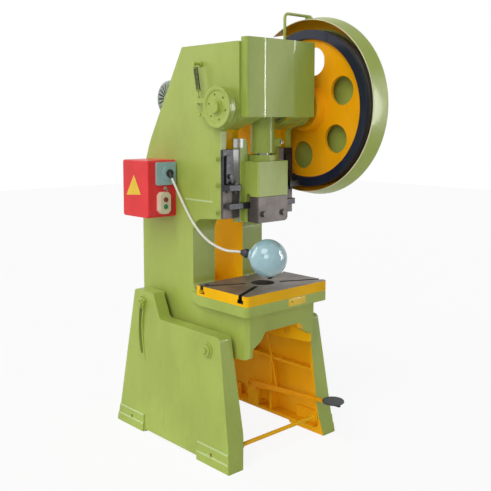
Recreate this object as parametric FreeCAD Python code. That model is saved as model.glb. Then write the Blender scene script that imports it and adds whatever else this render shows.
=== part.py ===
"""Open-back inclinable stamping press, 25-tonne class: tilting C-frame on two cast legs.

Frame of the model: X to the operator's right, Y to the back, Z up, millimetres.
The origin is on the floor, at the centre of the four foundation bolt holes.
"""
import FreeCAD, Part
import math
import os

os.makedirs("parts", exist_ok=True)

# ---------------------------------------------------------------- driving dimensions
CLEAR = 0.3                # gap between pieces that move on each other
RUN = 0.05                 # radial running clearance of a shaft in its bush

CHEEK_X = 240.0            # outer face of the frame's side walls
WALL = 36.0                # thickness of a side wall
GAP_X = 98.0               # half of the open gap between the cheeks
FRONT_Y = -445.0           # front of the frame below the bed
BACK_Y = 385.0             # back edge of the frame
THROAT_Y = -45.0           # back of the throat
JAW_Y = -258.0             # front of the upper jaw
HEAD_Y = -391.0            # front of the crank head
TOP_Z = 2002.0             # top of the frame
TOP_BACK_Y = 34.0          # where the flat top ends
SLOPE_FOOT_Z = 1411.0      # where the back edge starts to lean forward
BED_Z = 780.0              # machined top of the bed
BED_FRONT_Y = -485.0
BED_X = 280.0              # half width of bed and bolster
BED_THICK = 50.0
FRAME_FOOT_Z = 512.0       # lower edge of the frame's side walls

BOLSTER_DEPTH = 370.0
BOLSTER_THICK = 50.0
BOLSTER_HOLE_R = 60.0
BOLSTER_TOP = BED_Z + BOLSTER_THICK

CRANK_Y = -300.0           # crank axis, and the middle of the slide in plan
CRANK_Z = 1700.0
STROKE = 65.0
THROW = STROKE / 2
JOURNAL_R = 45.0
PIN_R = 55.0
SHAFT_END_R = 38.0
HOUSING_R = 80.0           # body of a crank bearing housing

PIVOT_Y = -275.0           # the frame tilts about this point of the legs
PIVOT_Z = 548.0
PIVOT_R = 24.0
LOCK_Y = 251.0             # clamping bolts that hold the frame at its tilt
LOCK_Z = 680.0
LOCK_RADIUS = 542.4        # they run in an arc slot of this radius
LOCK_ANGLE = 14.1          # upper position of the clamping bolt, degrees
TILT_RANGE = 26.0
LOCK_R = 11.5

LEG_TOP_X = 342.0          # outer face of a leg at its ledge
LEG_FOOT_X = 367.0         # and at the floor
LEDGE_Z = 624.0
PAD_Z = 748.0              # top of the rear block of a leg
LEG_IN_X = 262.0           # inner faces of the leg's bosses
ANCHOR_X = 300.0
ANCHOR_Y = 330.0
ANCHOR_R = 11.0
TIE_Z = 97.0               # rods that tie the legs together
TIE_YS = (-418, 412)

RAM_X = 104.0              # half width of the slide
RAM_FRONT_Y = -374.0
RAM_BACK_Y = -190.0
RAM_BOTTOM_Z = 1145.0
RAM_TOP_Z = 1442.0
CLAMP_TOP_Z = 1272.0
BALL_Z = 1392.0
SHANK_R = 20.0

FLY_X0 = 306.0             # flywheel rim, near face and far face
FLY_X1 = 378.0
FLY_R = 402.0
RIM_IN_R = 356.0
FLY_HOLES = 6
FLY_HOLE_R = 72.0
FLY_HOLE_CIRCLE = 243.0
FLY_HOLE_FIRST = 99.0      # degrees up from the back
BELT_PITCH = 20.0
BELT_COUNT = 3

GUARD_Z = 1712.0
GUARD_LIP_R = 438.0
GUARD_FAR_R = 460.0
GUARD_X0 = 304.0
GUARD_X1 = 398.0

MOTOR_Y = 355.0
MOTOR_Z = 1758.0
PULLEY_R = 60.0

BOX_X = -413.0             # outer face of the control box lid
BOX_FRONT_Y = 93.0
BOX_BACK_Y = 315.0
BOX_Z0 = 1151.0
BOX_Z1 = 1440.0


# ---------------------------------------------------------------- helpers
def vec(x, y, z):
    return FreeCAD.Vector(x, y, z)


def corners_to_edges(points):
    """Closed outline through (a, b, radius) corners: straight runs joined by tangent arcs."""
    count = len(points)
    starts, ends, mids = [], [], []
    for i in range(count):
        prev = FreeCAD.Vector(*points[i - 1][:2], 0)
        here = FreeCAD.Vector(*points[i][:2], 0)
        after = FreeCAD.Vector(*points[(i + 1) % count][:2], 0)
        radius = points[i][2] if len(points[i]) > 2 else 0
        to_prev = (prev - here).normalize()
        to_next = (after - here).normalize()
        if radius <= 0:
            starts.append(here)
            ends.append(here)
            mids.append(None)
            continue
        half = to_prev.getAngle(to_next) / 2
        reach = radius / math.tan(half)
        inward = (to_prev + to_next).normalize()
        starts.append(here + to_prev * reach)
        ends.append(here + to_next * reach)
        mids.append(here + inward * (radius / math.sin(half) - radius))
    edges = []
    for i in range(count):
        if mids[i] is not None:
            edges.append(Part.Arc(starts[i], mids[i], ends[i]).toShape())
        following = starts[(i + 1) % count]
        if (following - ends[i]).Length > 1e-6:
            edges.append(Part.makeLine(ends[i], following))
    return edges


def prism(points, low, high, axis):
    """Extrude an outline along axis 'x' (outline in Y, Z), 'y' (X, Z) or 'z' (X, Y)."""
    face = Part.Face(Part.Wire(Part.__sortEdges__(corners_to_edges(points))))
    if axis == "x":
        place = FreeCAD.Matrix(0, 0, 1, low, 1, 0, 0, 0, 0, 1, 0, 0, 0, 0, 0, 1)
        way = vec(high - low, 0, 0)
    elif axis == "y":
        place = FreeCAD.Matrix(1, 0, 0, 0, 0, 0, -1, low, 0, 1, 0, 0, 0, 0, 0, 1)
        way = vec(0, high - low, 0)
    else:
        place = FreeCAD.Matrix(1, 0, 0, 0, 0, 1, 0, 0, 0, 0, 1, low, 0, 0, 0, 1)
        way = vec(0, 0, high - low)
    face.transformShape(place)
    return face.extrude(way)


def block(x0, x1, y0, y1, z0, z1):
    return Part.makeBox(x1 - x0, y1 - y0, z1 - z0, vec(x0, y0, z0))


def rod_x(y, z, radius, x0, x1):
    return Part.makeCylinder(radius, x1 - x0, vec(x0, y, z), vec(1, 0, 0))


def rod_out(side, y, z, radius, near, far):
    """Rod along X on one side of the middle plane; side is 1 for the right and -1 for the left."""
    return rod_x(y, z, radius, min(side * near, side * far), max(side * near, side * far))


def rod_y(x, z, radius, y0, y1):
    return Part.makeCylinder(radius, y1 - y0, vec(x, y0, z), vec(0, 1, 0))


def rod_z(x, y, radius, z0, z1):
    return Part.makeCylinder(radius, z1 - z0, vec(x, y, z0), vec(0, 0, 1))


def rod_between(start, end, radius):
    return Part.makeCylinder(radius, (end - start).Length, start, end - start)


def join(*shapes):
    return shapes[0].multiFuse(list(shapes[1:])).removeSplitter()


def mirror_x(shape):
    return shape.mirror(vec(0, 0, 0), vec(1, 0, 0))


def hexagon(centre, way, across, height):
    """Hexagonal prism, across flats, standing on centre along way."""
    corner = across / math.sqrt(3)
    points = [vec(corner * math.cos(math.radians(60 * i)), corner * math.sin(math.radians(60 * i)), 0)
              for i in range(6)]
    solid = Part.Face(Part.makePolygon(points + points[:1])).extrude(vec(0, 0, height))
    turn = FreeCAD.Rotation(vec(0, 0, 1), way)
    solid.Placement = FreeCAD.Placement(centre, turn)
    return solid


def ring_x(y, z, outer, inner, x0, x1):
    return rod_x(y, z, outer, x0, x1).cut(rod_x(y, z, inner, x0 - 1, x1 + 1))


def revolve_x(points, y, z):
    """Turned piece about an axis along X; points are (x, radius, corner radius)."""
    face = Part.Face(Part.Wire(Part.__sortEdges__(corners_to_edges(points))))
    solid = face.revolve(vec(0, 0, 0), vec(1, 0, 0), 360)
    solid.translate(vec(0, y, z))
    return solid


def save(node, shapes):
    solids = shapes if isinstance(shapes, list) else [shapes]
    whole = []
    for shape in solids:
        whole.extend(shape.Solids)
    for solid in whole:
        if not solid.isValid():
            print("INVALID", node)
    result = whole[0] if len(whole) == 1 else Part.makeCompound(whole)
    result.exportStep("parts/" + node + ".step")
    print("%-20s solids %2d  volume %9.1f cm3" % (node, len(whole), sum(s.Volume for s in whole) / 1000))


# ---------------------------------------------------------------- stand: two cast legs
def leg_wall(inner_shift):
    """Everything on the inner side of the leaning outer wall, moved inwards by inner_shift."""
    lean = (LEG_FOOT_X - LEG_TOP_X) / LEDGE_Z
    top = LEG_FOOT_X - lean * 760 - inner_shift
    return prism([(150, -20), (LEG_FOOT_X - inner_shift, -20), (top, 760), (150, 760)], -700, 700, "y")


LEG_SIDE = [(-465, 0), (-365, LEDGE_Z, 25), (105, LEDGE_Z, 20), (165, PAD_Z, 10), (330, PAD_Z, 18),
            (461, 0), (216, 0), (210, 14, 4), (-216, 14, 4), (-222, 0)]
LEG_FRONT = [(272, PAD_Z + 10), (272, LEDGE_Z), (264, 340, 500), (260, 150, 250), (284, 0),
             (400, 0), (400, PAD_Z + 10)]
LEG_POCKET = [(-440, 32, 30), (-348, 604, 30), (118, 604, 20), (176, 728, 10), (313, 728, 18),
              (435, 32, 30)]
LEG_WALL = 18.0
RIB_DEPTH = 9.0                                 # the ribs stop this far inside the outer face
FOOT_STEPS = ((92, 5), (46, 9))                 # height, and how far each stands proud
SIDE_HOLE_Z = 53.0
BOSS_R = 62.0                                   # bosses round the pivot pins
LOCK_BOSS_R = 50.0


def leg():
    whole_side = prism(LEG_SIDE, 240, 400, "x")
    body = whole_side.common(prism(LEG_FRONT, -700, 700, "y")).common(leg_wall(0))
    body = body.cut(prism(LEG_POCKET, 150, 400, "x").common(leg_wall(LEG_WALL)))
    pad = prism([(165, 600), (165, PAD_Z, 10), (330, PAD_Z, 18), (355, 600)], LEG_IN_X, 330, "x")
    boss = rod_x(PIVOT_Y, PIVOT_Z, BOSS_R, LEG_IN_X, 352).common(leg_wall(0))
    pivot_face = rod_x(PIVOT_Y, PIVOT_Z, 40, 300, 350)
    arc_band = ring_x(PIVOT_Y, PIVOT_Z, LOCK_RADIUS + 20, LOCK_RADIUS - 20, LEG_IN_X, 352)
    wedge = prism([(PIVOT_Y, PIVOT_Z), (PIVOT_Y + 700, PIVOT_Z - 240), (PIVOT_Y + 700, PIVOT_Z + 222)],
                  0, 400, "x")
    rib_flat = block(288, 400, -404, 394, 322, 338)
    rib_low = block(288, 400, -76, -60, 20, 330)
    rib_top = block(288, 400, 116, 132, 330, 640)
    ribs = join(rib_flat, rib_low, rib_top).common(leg_wall(RIB_DEPTH))
    body = join(body, pad, boss, pivot_face, arc_band.common(wedge), ribs)
    for y in TIE_YS:
        body = join(body, rod_x(y, TIE_Z, 24, 261, 400).common(leg_wall(RIB_DEPTH)))
    for y0, y1 in ((-470, -226), (222, 470)):
        for height, proud in FOOT_STEPS:
            step = block(330, 400, y0, y1, 0, height).common(leg_wall(-proud))
            body = join(body, step.common(whole_side))
    for y in (-ANCHOR_Y, ANCHOR_Y):
        body = body.cut(rod_z(ANCHOR_X, y, ANCHOR_R, -5, 40))
        body = body.cut(rod_x(y, SIDE_HOLE_Z, 9, 340, 400))
    for y in TIE_YS:
        body = body.cut(rod_x(y, TIE_Z, 10.2, 250, 310))
    body = body.cut(rod_x(PIVOT_Y, PIVOT_Z, PIVOT_R + 0.1, 200, 400))
    slot_half = LOCK_R + 0.8
    slot = ring_x(PIVOT_Y, PIVOT_Z, LOCK_RADIUS + slot_half, LOCK_RADIUS - slot_half, 200, 400)
    angles = (LOCK_ANGLE + 0.15, LOCK_ANGLE - TILT_RANGE - 1.2)
    ends = [vec(0, PIVOT_Y + LOCK_RADIUS * math.cos(math.radians(a)),
                PIVOT_Z + LOCK_RADIUS * math.sin(math.radians(a))) for a in angles]
    centre = (PIVOT_Y, PIVOT_Z)
    reach = 1.4
    fan = [centre] + [(PIVOT_Y + (e.y - PIVOT_Y) * reach, PIVOT_Z + (e.z - PIVOT_Z) * reach)
                      for e in reversed(ends)]
    slot = slot.common(prism(fan, 200, 400, "x"))
    body = body.cut(slot)
    for end in ends:
        body = body.cut(rod_x(end.y, end.z, slot_half, 200, 400))
    return body


right_leg = leg()
save("leg_right", right_leg)
save("leg_left", mirror_x(right_leg))

tie_parts = []
for tie_y in TIE_YS:
    tie_parts.append(rod_x(tie_y, TIE_Z, 10, -300, 300))
    for nut_x in (-261, 248):
        nut = hexagon(vec(nut_x, tie_y, TIE_Z), vec(1, 0, 0), 30, 13)
        tie_parts.append(nut.cut(rod_x(tie_y, TIE_Z, 10.1, nut_x - 1, nut_x + 14)))
save("tie_rods", tie_parts)

pin = rod_x(PIVOT_Y, PIVOT_Z, PIVOT_R, 206, 352)
pin = join(pin, rod_x(PIVOT_Y, PIVOT_Z, 30, 350.1, 358),
           hexagon(vec(358, PIVOT_Y, PIVOT_Z), vec(1, 0, 0), 26, 9))
save("pivot_pins", [pin, mirror_x(pin)])

# ---------------------------------------------------------------- pedal and its bracket
PEDAL_X = 245.0
PEDAL_PIVOT_Y = 63.0
PEDAL_PIVOT_Z = 162.0
PAD_Y = -562.0
PAD_TOP_Z = 230.0
PAD_THICK = 11.0
PAD_R = 56.0
ROD_Y = -150.0
bracket = prism([(30, 120), (30, 175, 16), (96, 175, 16), (96, 120)], 266, 300, "x")
bracket = join(bracket, prism([(20, 32), (20, 130), (106, 130), (106, 32)], 278, 300, "x"),
               block(278, 352, 20, 106, 30, 52).common(leg_wall(LEG_WALL + 0.1)),
               rod_x(PEDAL_PIVOT_Y, PEDAL_PIVOT_Z, 9, 232, 270))
bracket = bracket.cut(block(200, 400, 0, 120, 20, 32.1))
save("pedal_bracket", bracket)

lever = prism([(63, 180), (-440, 216, 60), (-606, 216), (-606, 205), (-440, 196, 60), (63, 144)],
              PEDAL_X - 6, PEDAL_X + 6, "x")
lever = join(lever, rod_x(PEDAL_PIVOT_Y, PEDAL_PIVOT_Z, 20, PEDAL_X - 8, PEDAL_X + 8))
lever = lever.cut(rod_x(PEDAL_PIVOT_Y, PEDAL_PIVOT_Z, 9 + RUN, 200, 300))
lever = join(lever, block(PEDAL_X - 20, PEDAL_X + 20, -604, -520, 213, PAD_TOP_Z - PAD_THICK))
lever = join(lever, rod_x(ROD_Y, 182, 6, PEDAL_X + 5, PEDAL_X + 18.5))
save("pedal_lever", lever)

tread = rod_z(PEDAL_X, PAD_Y, PAD_R, PAD_TOP_Z - PAD_THICK, PAD_TOP_Z)
save("pedal_pad", tread.makeChamfer(3, [e for e in tread.Edges if e.BoundBox.ZLength < 0.1]))

# pull rod: eye on the lever's stud, straight rod, eye beside the trip lever
ROD_TOP = vec(258, -40, 600)
ROD_LOW = vec(258, ROD_Y, 182)
pull_rod = join(rod_between(ROD_LOW, ROD_TOP, 4.5),
                ring_x(ROD_LOW.y, ROD_LOW.z, 13, 6 + RUN, 253.5, 262.5),
                rod_x(ROD_TOP.y, ROD_TOP.z, 11, 253.5, 262.5))
pull_rod = pull_rod.cut(rod_x(ROD_LOW.y, ROD_LOW.z, 6 + RUN, 240, 270))
save("pull_rod", pull_rod)

# ---------------------------------------------------------------- frame casting
SLOPE = vec(0, TOP_BACK_Y - BACK_Y, TOP_Z - SLOPE_FOOT_Z).normalize()
SLOPE_OUT = vec(0, SLOPE.z, -SLOPE.y)

outline = [(FRONT_Y, BED_Z), (FRONT_Y, FRAME_FOOT_Z, 20), (-180, 494, 60), (340, 590, 40),
           (BACK_Y, 640, 40), (BACK_Y, SLOPE_FOOT_Z, 700), (TOP_BACK_Y, TOP_Z, 12), (HEAD_Y, TOP_Z, 10),
           (HEAD_Y, 1650, 20), (JAW_Y, 1592, 15), (JAW_Y, 1166, 8), (THROAT_Y, 1150, 75),
           (THROAT_Y, BED_Z, 45)]
GIB_SEAT_Y = -223.0
inner_outline = [p if p[0] != JAW_Y else (GIB_SEAT_Y,) + tuple(p[1:]) for p in outline]

cheek = prism(outline, CHEEK_X - WALL, CHEEK_X, "x")
inner_wall = prism(inner_outline, GAP_X, CHEEK_X - WALL, "x")
open_back = prism([(-175, 1954, 15), (-175, 1572, 15), (-183, 1560), (-183, 1208, 20), (0, 1186, 40),
                   (0, 420), (520, 420), (520, 2100), (60, 2100), (60, 1954)], GAP_X - 1, 204, "x")
under_bed = prism([(-405, 420), (-405, 735, 20), (THROAT_Y, 735, 20), (THROAT_Y, 420)],
                  GAP_X - 1, 204, "x")
half = join(cheek, inner_wall.cut(open_back).cut(under_bed))

arch = prism([(-204.01, 400), (-204.01, 558, 10), (-150, 588, 25), (-121, 630, 12), (121, 630, 12),
              (150, 588, 25), (204.01, 558, 10), (204.01, 400)], FRONT_Y - 10, -400, "y")
apron = block(-204, 204, FRONT_Y, -405, 512, 740)
bed_plate = block(-204, 204, FRONT_Y, 0, 735, BED_Z)
bed_flange = prism([(-BED_X, BED_FRONT_Y, 22), (-BED_X, -140, 60), (-CHEEK_X, -20), (CHEEK_X, -20),
                    (BED_X, -140, 60), (BED_X, BED_FRONT_Y, 22)], BED_Z - BED_THICK, BED_Z, "z")
top_web = block(-204, 204, HEAD_Y, TOP_BACK_Y, 1954, TOP_Z)
rear_web = block(-204, 204, 345, BACK_Y, 630, 790)
frame = join(half, mirror_x(half), apron, bed_plate, bed_flange, top_web, rear_web)
for side in (1, -1):
    for centre_y, centre_z, radius in ((PIVOT_Y, PIVOT_Z, BOSS_R), (LOCK_Y, LOCK_Z, LOCK_BOSS_R)):
        frame = join(frame, rod_out(side, centre_y, centre_z, radius, CHEEK_X - 1, LEG_IN_X - CLEAR))
frame = frame.cut(arch)
corner = prism([(CHEEK_X - 20, FRONT_Y - 1), (CHEEK_X + 1, FRONT_Y - 1), (CHEEK_X + 1, FRONT_Y + 20)],
               480, BED_Z - BED_THICK, "z")
frame = frame.cut(corner).cut(mirror_x(corner))
for side in (1, -1):
    frame = frame.cut(rod_out(side, CRANK_Y, CRANK_Z, HOUSING_R + 0.1, 90, 300))
    frame = frame.cut(rod_out(side, PIVOT_Y, PIVOT_Z, PIVOT_R + RUN, 150, 300))
    frame = frame.cut(rod_out(side, LOCK_Y, LOCK_Z, LOCK_R + 0.2, 150, 300))
frame = frame.cut(rod_z(0, CRANK_Y, 85, 700, 800))
frame = frame.cut(prism([(94, 1480, 8), (94, 1535, 8), (152, 1535, 8), (152, 1480, 8)], 190, 260, "x"))
GIB_SCREW_Y = -241.0
GIB_SCREW_Z = (1198, 1330, 1456)
for side in (1, -1):
    for z in GIB_SCREW_Z:
        frame = frame.cut(rod_out(side, GIB_SCREW_Y, z, 8.3, 190, 260))
save("frame_casting", frame)

# ---------------------------------------------------------------- bolster plate
bolster = prism([(-BED_X, BED_FRONT_Y, 22), (-BED_X, BED_FRONT_Y + BOLSTER_DEPTH, 12),
                 (BED_X, BED_FRONT_Y + BOLSTER_DEPTH, 12), (BED_X, BED_FRONT_Y, 22)],
                BED_Z, BOLSTER_TOP, "z")
bolster = bolster.cut(rod_z(0, CRANK_Y, BOLSTER_HOLE_R, BED_Z - 1, BOLSTER_TOP + 1))
T_MOUTH = 22.0
T_FOOT = 36.0
for corner_x, corner_y in ((1, 1), (1, -1), (-1, 1), (-1, -1)):
    along = vec(corner_x * 290, corner_y * 145, 0)
    length = along.Length
    turn = FreeCAD.Rotation(vec(1, 0, 0), along)
    place = FreeCAD.Placement(vec(0, CRANK_Y, 0), turn)
    mouth = block(90, length + 30, -T_MOUTH / 2, T_MOUTH / 2, BOLSTER_TOP - 22, BOLSTER_TOP + 1)
    foot = block(90, length + 30, -T_FOOT / 2, T_FOOT / 2, BOLSTER_TOP - 38, BOLSTER_TOP - 20)
    tee_slot = join(mouth, foot)
    tee_slot.Placement = place
    bolster = bolster.cut(tee_slot)
BOLSTER_SCREW_X = 240.0
BOLSTER_SCREW_Y = -150.0
for x in (-BOLSTER_SCREW_X, BOLSTER_SCREW_X):
    bolster = bolster.cut(rod_z(x, BOLSTER_SCREW_Y, 9, BED_Z - 1, BOLSTER_TOP + 1))
    bolster = bolster.cut(rod_z(x, BOLSTER_SCREW_Y, 14, BOLSTER_TOP - 18, BOLSTER_TOP + 1))
save("bolster", bolster)

# ---------------------------------------------------------------- fasteners of the frame
fasteners = []
for x in (-BOLSTER_SCREW_X, BOLSTER_SCREW_X):
    fasteners.append(join(rod_z(x, BOLSTER_SCREW_Y, 13, BOLSTER_TOP - 18, BOLSTER_TOP - 6),
                          rod_z(x, BOLSTER_SCREW_Y, 8.5, BED_Z, BOLSTER_TOP - 18)))
for z in GIB_SCREW_Z:
    gib_screw = join(rod_x(GIB_SCREW_Y, z, 8, 203.7, 262),
                     hexagon(vec(CHEEK_X, GIB_SCREW_Y, z), vec(1, 0, 0), 22, 9))
    fasteners.extend([gib_screw, mirror_x(gib_screw)])
TRIP_Y = 60.0
TRIP_Z = 600.0
LATCH_Y = -130.0
LATCH_Z = 1640.0
for y, z in ((TRIP_Y, TRIP_Z), (LATCH_Y, LATCH_Z)):
    fasteners.append(join(rod_x(y, z, 9, CHEEK_X, 254), rod_x(y, z, 15, CHEEK_X, 242.7),
                          rod_x(y, z, 13, 251.8, 256)))
save("frame_screws", fasteners)

lock = join(rod_x(LOCK_Y, LOCK_Z, LOCK_R, 206, 362), rod_x(LOCK_Y, LOCK_Z, 24, 354.3, 358.3),
            hexagon(vec(358.3, LOCK_Y, LOCK_Z), vec(1, 0, 0), 34, 14))
save("lock_bolts", [lock, mirror_x(lock)])

# ---------------------------------------------------------------- crankshaft and its bearings
HOUSING_FACE = 258.0
housing = join(rod_x(CRANK_Y, CRANK_Z, HOUSING_R, GAP_X, CHEEK_X),
               rod_x(CRANK_Y, CRANK_Z, HOUSING_R + 10, CHEEK_X, HOUSING_FACE))
housing = housing.cut(rod_x(CRANK_Y, CRANK_Z, 52, GAP_X - 1, HOUSING_FACE + 1))
save("bearing_housings", [housing, mirror_x(housing)])

bush = ring_x(CRANK_Y, CRANK_Z, 51.9, JOURNAL_R + RUN, GAP_X, HOUSING_FACE)
save("crank_bushes", [bush, mirror_x(bush)])

PIN_Z = CRANK_Z + THROW
WEB_IN = 62.0
WEB_OUT = 97.4
FLY_HUB_END = 380.0
shaft = rod_x(CRANK_Y, CRANK_Z, JOURNAL_R, WEB_IN, HOUSING_FACE + 1)
shaft = join(shaft, rod_x(CRANK_Y, CRANK_Z, SHAFT_END_R, HOUSING_FACE, FLY_HUB_END + 0.3),
             rod_x(CRANK_Y, CRANK_Z, JOURNAL_R, -HOUSING_FACE - 1, -WEB_IN),
             rod_x(CRANK_Y, CRANK_Z, SHAFT_END_R, -300, -HOUSING_FACE),
             rod_x(CRANK_Y, CRANK_Z, 29, -314, -300), rod_x(CRANK_Y, CRANK_Z, 25, -317, -314),
             block(-297.5, -264, CRANK_Y - 4.95, CRANK_Y + 4.95, CRANK_Z + 30, CRANK_Z + 42.9),
             rod_x(CRANK_Y, PIN_Z, PIN_R, -WEB_IN - 1, WEB_IN + 1))
web = prism([(CRANK_Y - 60, CRANK_Z - 60, 59.9), (CRANK_Y - 60, PIN_Z + 60, 59.9),
             (CRANK_Y + 60, PIN_Z + 60, 59.9), (CRANK_Y + 60, CRANK_Z - 60, 59.9)], WEB_IN, WEB_OUT, "x")
shaft = join(shaft, web, mirror_x(web))
save("crankshaft", shaft)

drum = revolve_x([(-298, 0), (-298, 76), (-303, 80), (-304, 94), (-302, 97), (-297, 97), (-297, 88),
                  (-264, 88), (-262, 86), (-262, 0)], CRANK_Y, CRANK_Z)
drum = drum.cut(rod_x(CRANK_Y, CRANK_Z, SHAFT_END_R + RUN, -305, -261))
for i in range(6):
    a = math.radians(60 * i + 15)
    drum = drum.cut(rod_x(CRANK_Y + 60 * math.cos(a), CRANK_Z + 60 * math.sin(a), 5, -300, -274))
drum = drum.cut(block(-300, -250, CRANK_Y - 5, CRANK_Y + 5, CRANK_Z + 30, CRANK_Z + 43))
save("brake_drum", drum)

dog = ring_x(CRANK_Y, CRANK_Z, 74, SHAFT_END_R + RUN, 260, 274)
lug = prism([(CRANK_Y + 60, CRANK_Z - 10), (CRANK_Y + 60, CRANK_Z + 10), (CRANK_Y + 98, CRANK_Z + 8, 3),
             (CRANK_Y + 98, CRANK_Z - 6, 3)], 262, 274, "x")
save("clutch_dog", join(dog, lug))

end_plate = join(rod_x(CRANK_Y, CRANK_Z, 56, FLY_HUB_END + 0.3, FLY_HUB_END + 7),
                 hexagon(vec(FLY_HUB_END + 7, CRANK_Y, CRANK_Z), vec(1, 0, 0), 30, 8))
save("end_plate", end_plate)

# ---------------------------------------------------------------- flywheel on its bush
GROOVE_TOP = 8.5
GROOVE_FOOT = 4.6
GROOVE_DEEP = 14.0
HUB_X0 = 276.0
HUB_BORE_R = 46.1
wheel_outline = [(HUB_X0, HUB_BORE_R), (HUB_X0, 106), (282, 112), (300, 117), (325, 124),
                 (325, RIM_IN_R - 12), (319, RIM_IN_R - 4), (FLY_X0, RIM_IN_R), (FLY_X0, FLY_R)]
first_groove = (FLY_X0 + FLY_X1) / 2 - BELT_PITCH * (BELT_COUNT - 1) / 2
for i in range(BELT_COUNT):
    middle = first_groove + i * BELT_PITCH
    wheel_outline += [(middle - GROOVE_TOP, FLY_R), (middle - GROOVE_FOOT, FLY_R - GROOVE_DEEP),
                      (middle + GROOVE_FOOT, FLY_R - GROOVE_DEEP), (middle + GROOVE_TOP, FLY_R)]
wheel_outline += [(FLY_X1, FLY_R), (FLY_X1, RIM_IN_R), (351, RIM_IN_R - 4), (345, RIM_IN_R - 12), (345, 124),
                  (370, 118), (FLY_HUB_END - 4, 112), (FLY_HUB_END - 4, HUB_BORE_R)]
flywheel = revolve_x(wheel_outline, CRANK_Y, CRANK_Z)
for i in range(FLY_HOLES):
    a = math.radians(FLY_HOLE_FIRST + 360 / FLY_HOLES * i)
    hole = rod_x(CRANK_Y + FLY_HOLE_CIRCLE * math.cos(a), CRANK_Z + FLY_HOLE_CIRCLE * math.sin(a),
                 FLY_HOLE_R, 300, 370)
    flywheel = flywheel.cut(hole)
save("flywheel", flywheel)
save("flywheel_bush",
     ring_x(CRANK_Y, CRANK_Z, HUB_BORE_R - 0.1, SHAFT_END_R + RUN, HUB_X0, FLY_HUB_END - 0.2))

# ---------------------------------------------------------------- connecting rod
SCREW_R = 35.0             # threaded shank of the ball screw
con_rod = join(rod_x(CRANK_Y, PIN_Z, 92, -60, 60), rod_z(0, CRANK_Y, 60, 1480, PIN_Z),
               block(-60, 60, CRANK_Y - 108, CRANK_Y + 108, PIN_Z - 30, PIN_Z + 30),
               prism([(20, -352, 6), (86, -352, 8), (86, -318, 8), (40, -300)], 1512, 1552, "z"))
con_rod = con_rod.cut(rod_x(CRANK_Y, PIN_Z, PIN_R + RUN, -61, 61))
con_rod = con_rod.cut(rod_z(0, CRANK_Y, SCREW_R + 0.1, 1470, 1640))
con_rod = con_rod.cut(block(60, 90, -337, -333, 1500, 1560))
upper = con_rod.common(block(-120, 120, -500, 0, PIN_Z, 1900))
lower = con_rod.common(block(-120, 120, -500, 0, 1400, PIN_Z))
save("connecting_rod", lower)
cap_bolts = []
for x in (-36, 36):
    for y in (CRANK_Y - 94, CRANK_Y + 94):
        upper = upper.cut(rod_z(x, y, 14.5, PIN_Z + 30, PIN_Z + 90))
        cap_bolts.append(hexagon(vec(x, y, PIN_Z + 30), vec(0, 0, 1), 22, 12))
save("rod_cap", upper)
cap_bolts.append(hexagon(vec(74, -352, 1532), vec(0, -1, 0), 18, 9))
save("rod_bolts", cap_bolts)

BALL_R = 48.0
ball_screw = join(Part.makeSphere(BALL_R, vec(0, CRANK_Y, BALL_Z)), rod_z(0, CRANK_Y, SCREW_R, BALL_Z, 1620))
save("ball_screw", ball_screw)

# ---------------------------------------------------------------- slide
V_X = 148.0
wings = [(-134, -280, 4), (-134, -262), (-V_X, -248), (-134, -234), (-134, -224, 4), (-95, -224),
         (-95, RAM_BACK_Y, 4), (95, RAM_BACK_Y, 4), (95, -224), (134, -224, 4), (134, -234), (V_X, -248),
         (134, -262), (134, -280, 4)]
ram = join(prism(wings, RAM_BOTTOM_Z, RAM_TOP_Z, "z"),
           block(-RAM_X, RAM_X, CRANK_Y, -279, RAM_BOTTOM_Z, RAM_TOP_Z),
           prism([(-RAM_X, RAM_FRONT_Y, 6), (-RAM_X, -290), (RAM_X, -290), (RAM_X, RAM_FRONT_Y, 6)],
                 CLAMP_TOP_Z, RAM_TOP_Z, "z"))
ear = prism([(78, RAM_TOP_Z - 1), (86, 1530, 30), (96, 1551, 6), (V_X, 1551), (V_X, RAM_TOP_Z - 1)],
            -290, -220, "y").common(prism(wings, RAM_TOP_Z - 1, 1560, "z"))
ram = join(ram, ear, mirror_x(ear))
SWEEP = THROW + 1.5
pocket = prism([(-50, CRANK_Y - 50, 49.9), (-50, CRANK_Y + SWEEP + 50, 49.9),
                (50, CRANK_Y + SWEEP + 50, 49.9), (50, CRANK_Y - 50, 49.9)], 1336, RAM_TOP_Z + 1, "z")
KNOCK_Y = -305.0
knock_slot = block(-160, 160, KNOCK_Y - 12, KNOCK_Y + 12, 1213.7, 1283)
shank_hole = rod_z(0, CRANK_Y, SHANK_R, RAM_BOTTOM_Z - 1, RAM_BOTTOM_Z + 60)
knock_hole = rod_z(0, CRANK_Y, 10, RAM_BOTTOM_Z + 50, 1215)
ram = ram.cut(pocket).cut(knock_slot).cut(shank_hole).cut(knock_hole)
save("ram", ram)

clamp = prism([(-RAM_X, RAM_FRONT_Y, 6), (-RAM_X, CRANK_Y), (RAM_X, CRANK_Y), (RAM_X, RAM_FRONT_Y, 6)],
              RAM_BOTTOM_Z, CLAMP_TOP_Z - 1, "z")
clamp = clamp.common(prism([(-RAM_X, RAM_BOTTOM_Z, 8), (RAM_X, RAM_BOTTOM_Z, 26), (RAM_X, 1300),
                            (-RAM_X, 1300)], -400, -280, "y"))
clamp = clamp.cut(knock_slot).cut(shank_hole).cut(knock_hole)
save("shank_clamp", clamp)
save("clamp_nuts", [hexagon(vec(x, RAM_FRONT_Y, 1188), vec(0, -1, 0), 27, 14) for x in (-66, 66)])

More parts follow.
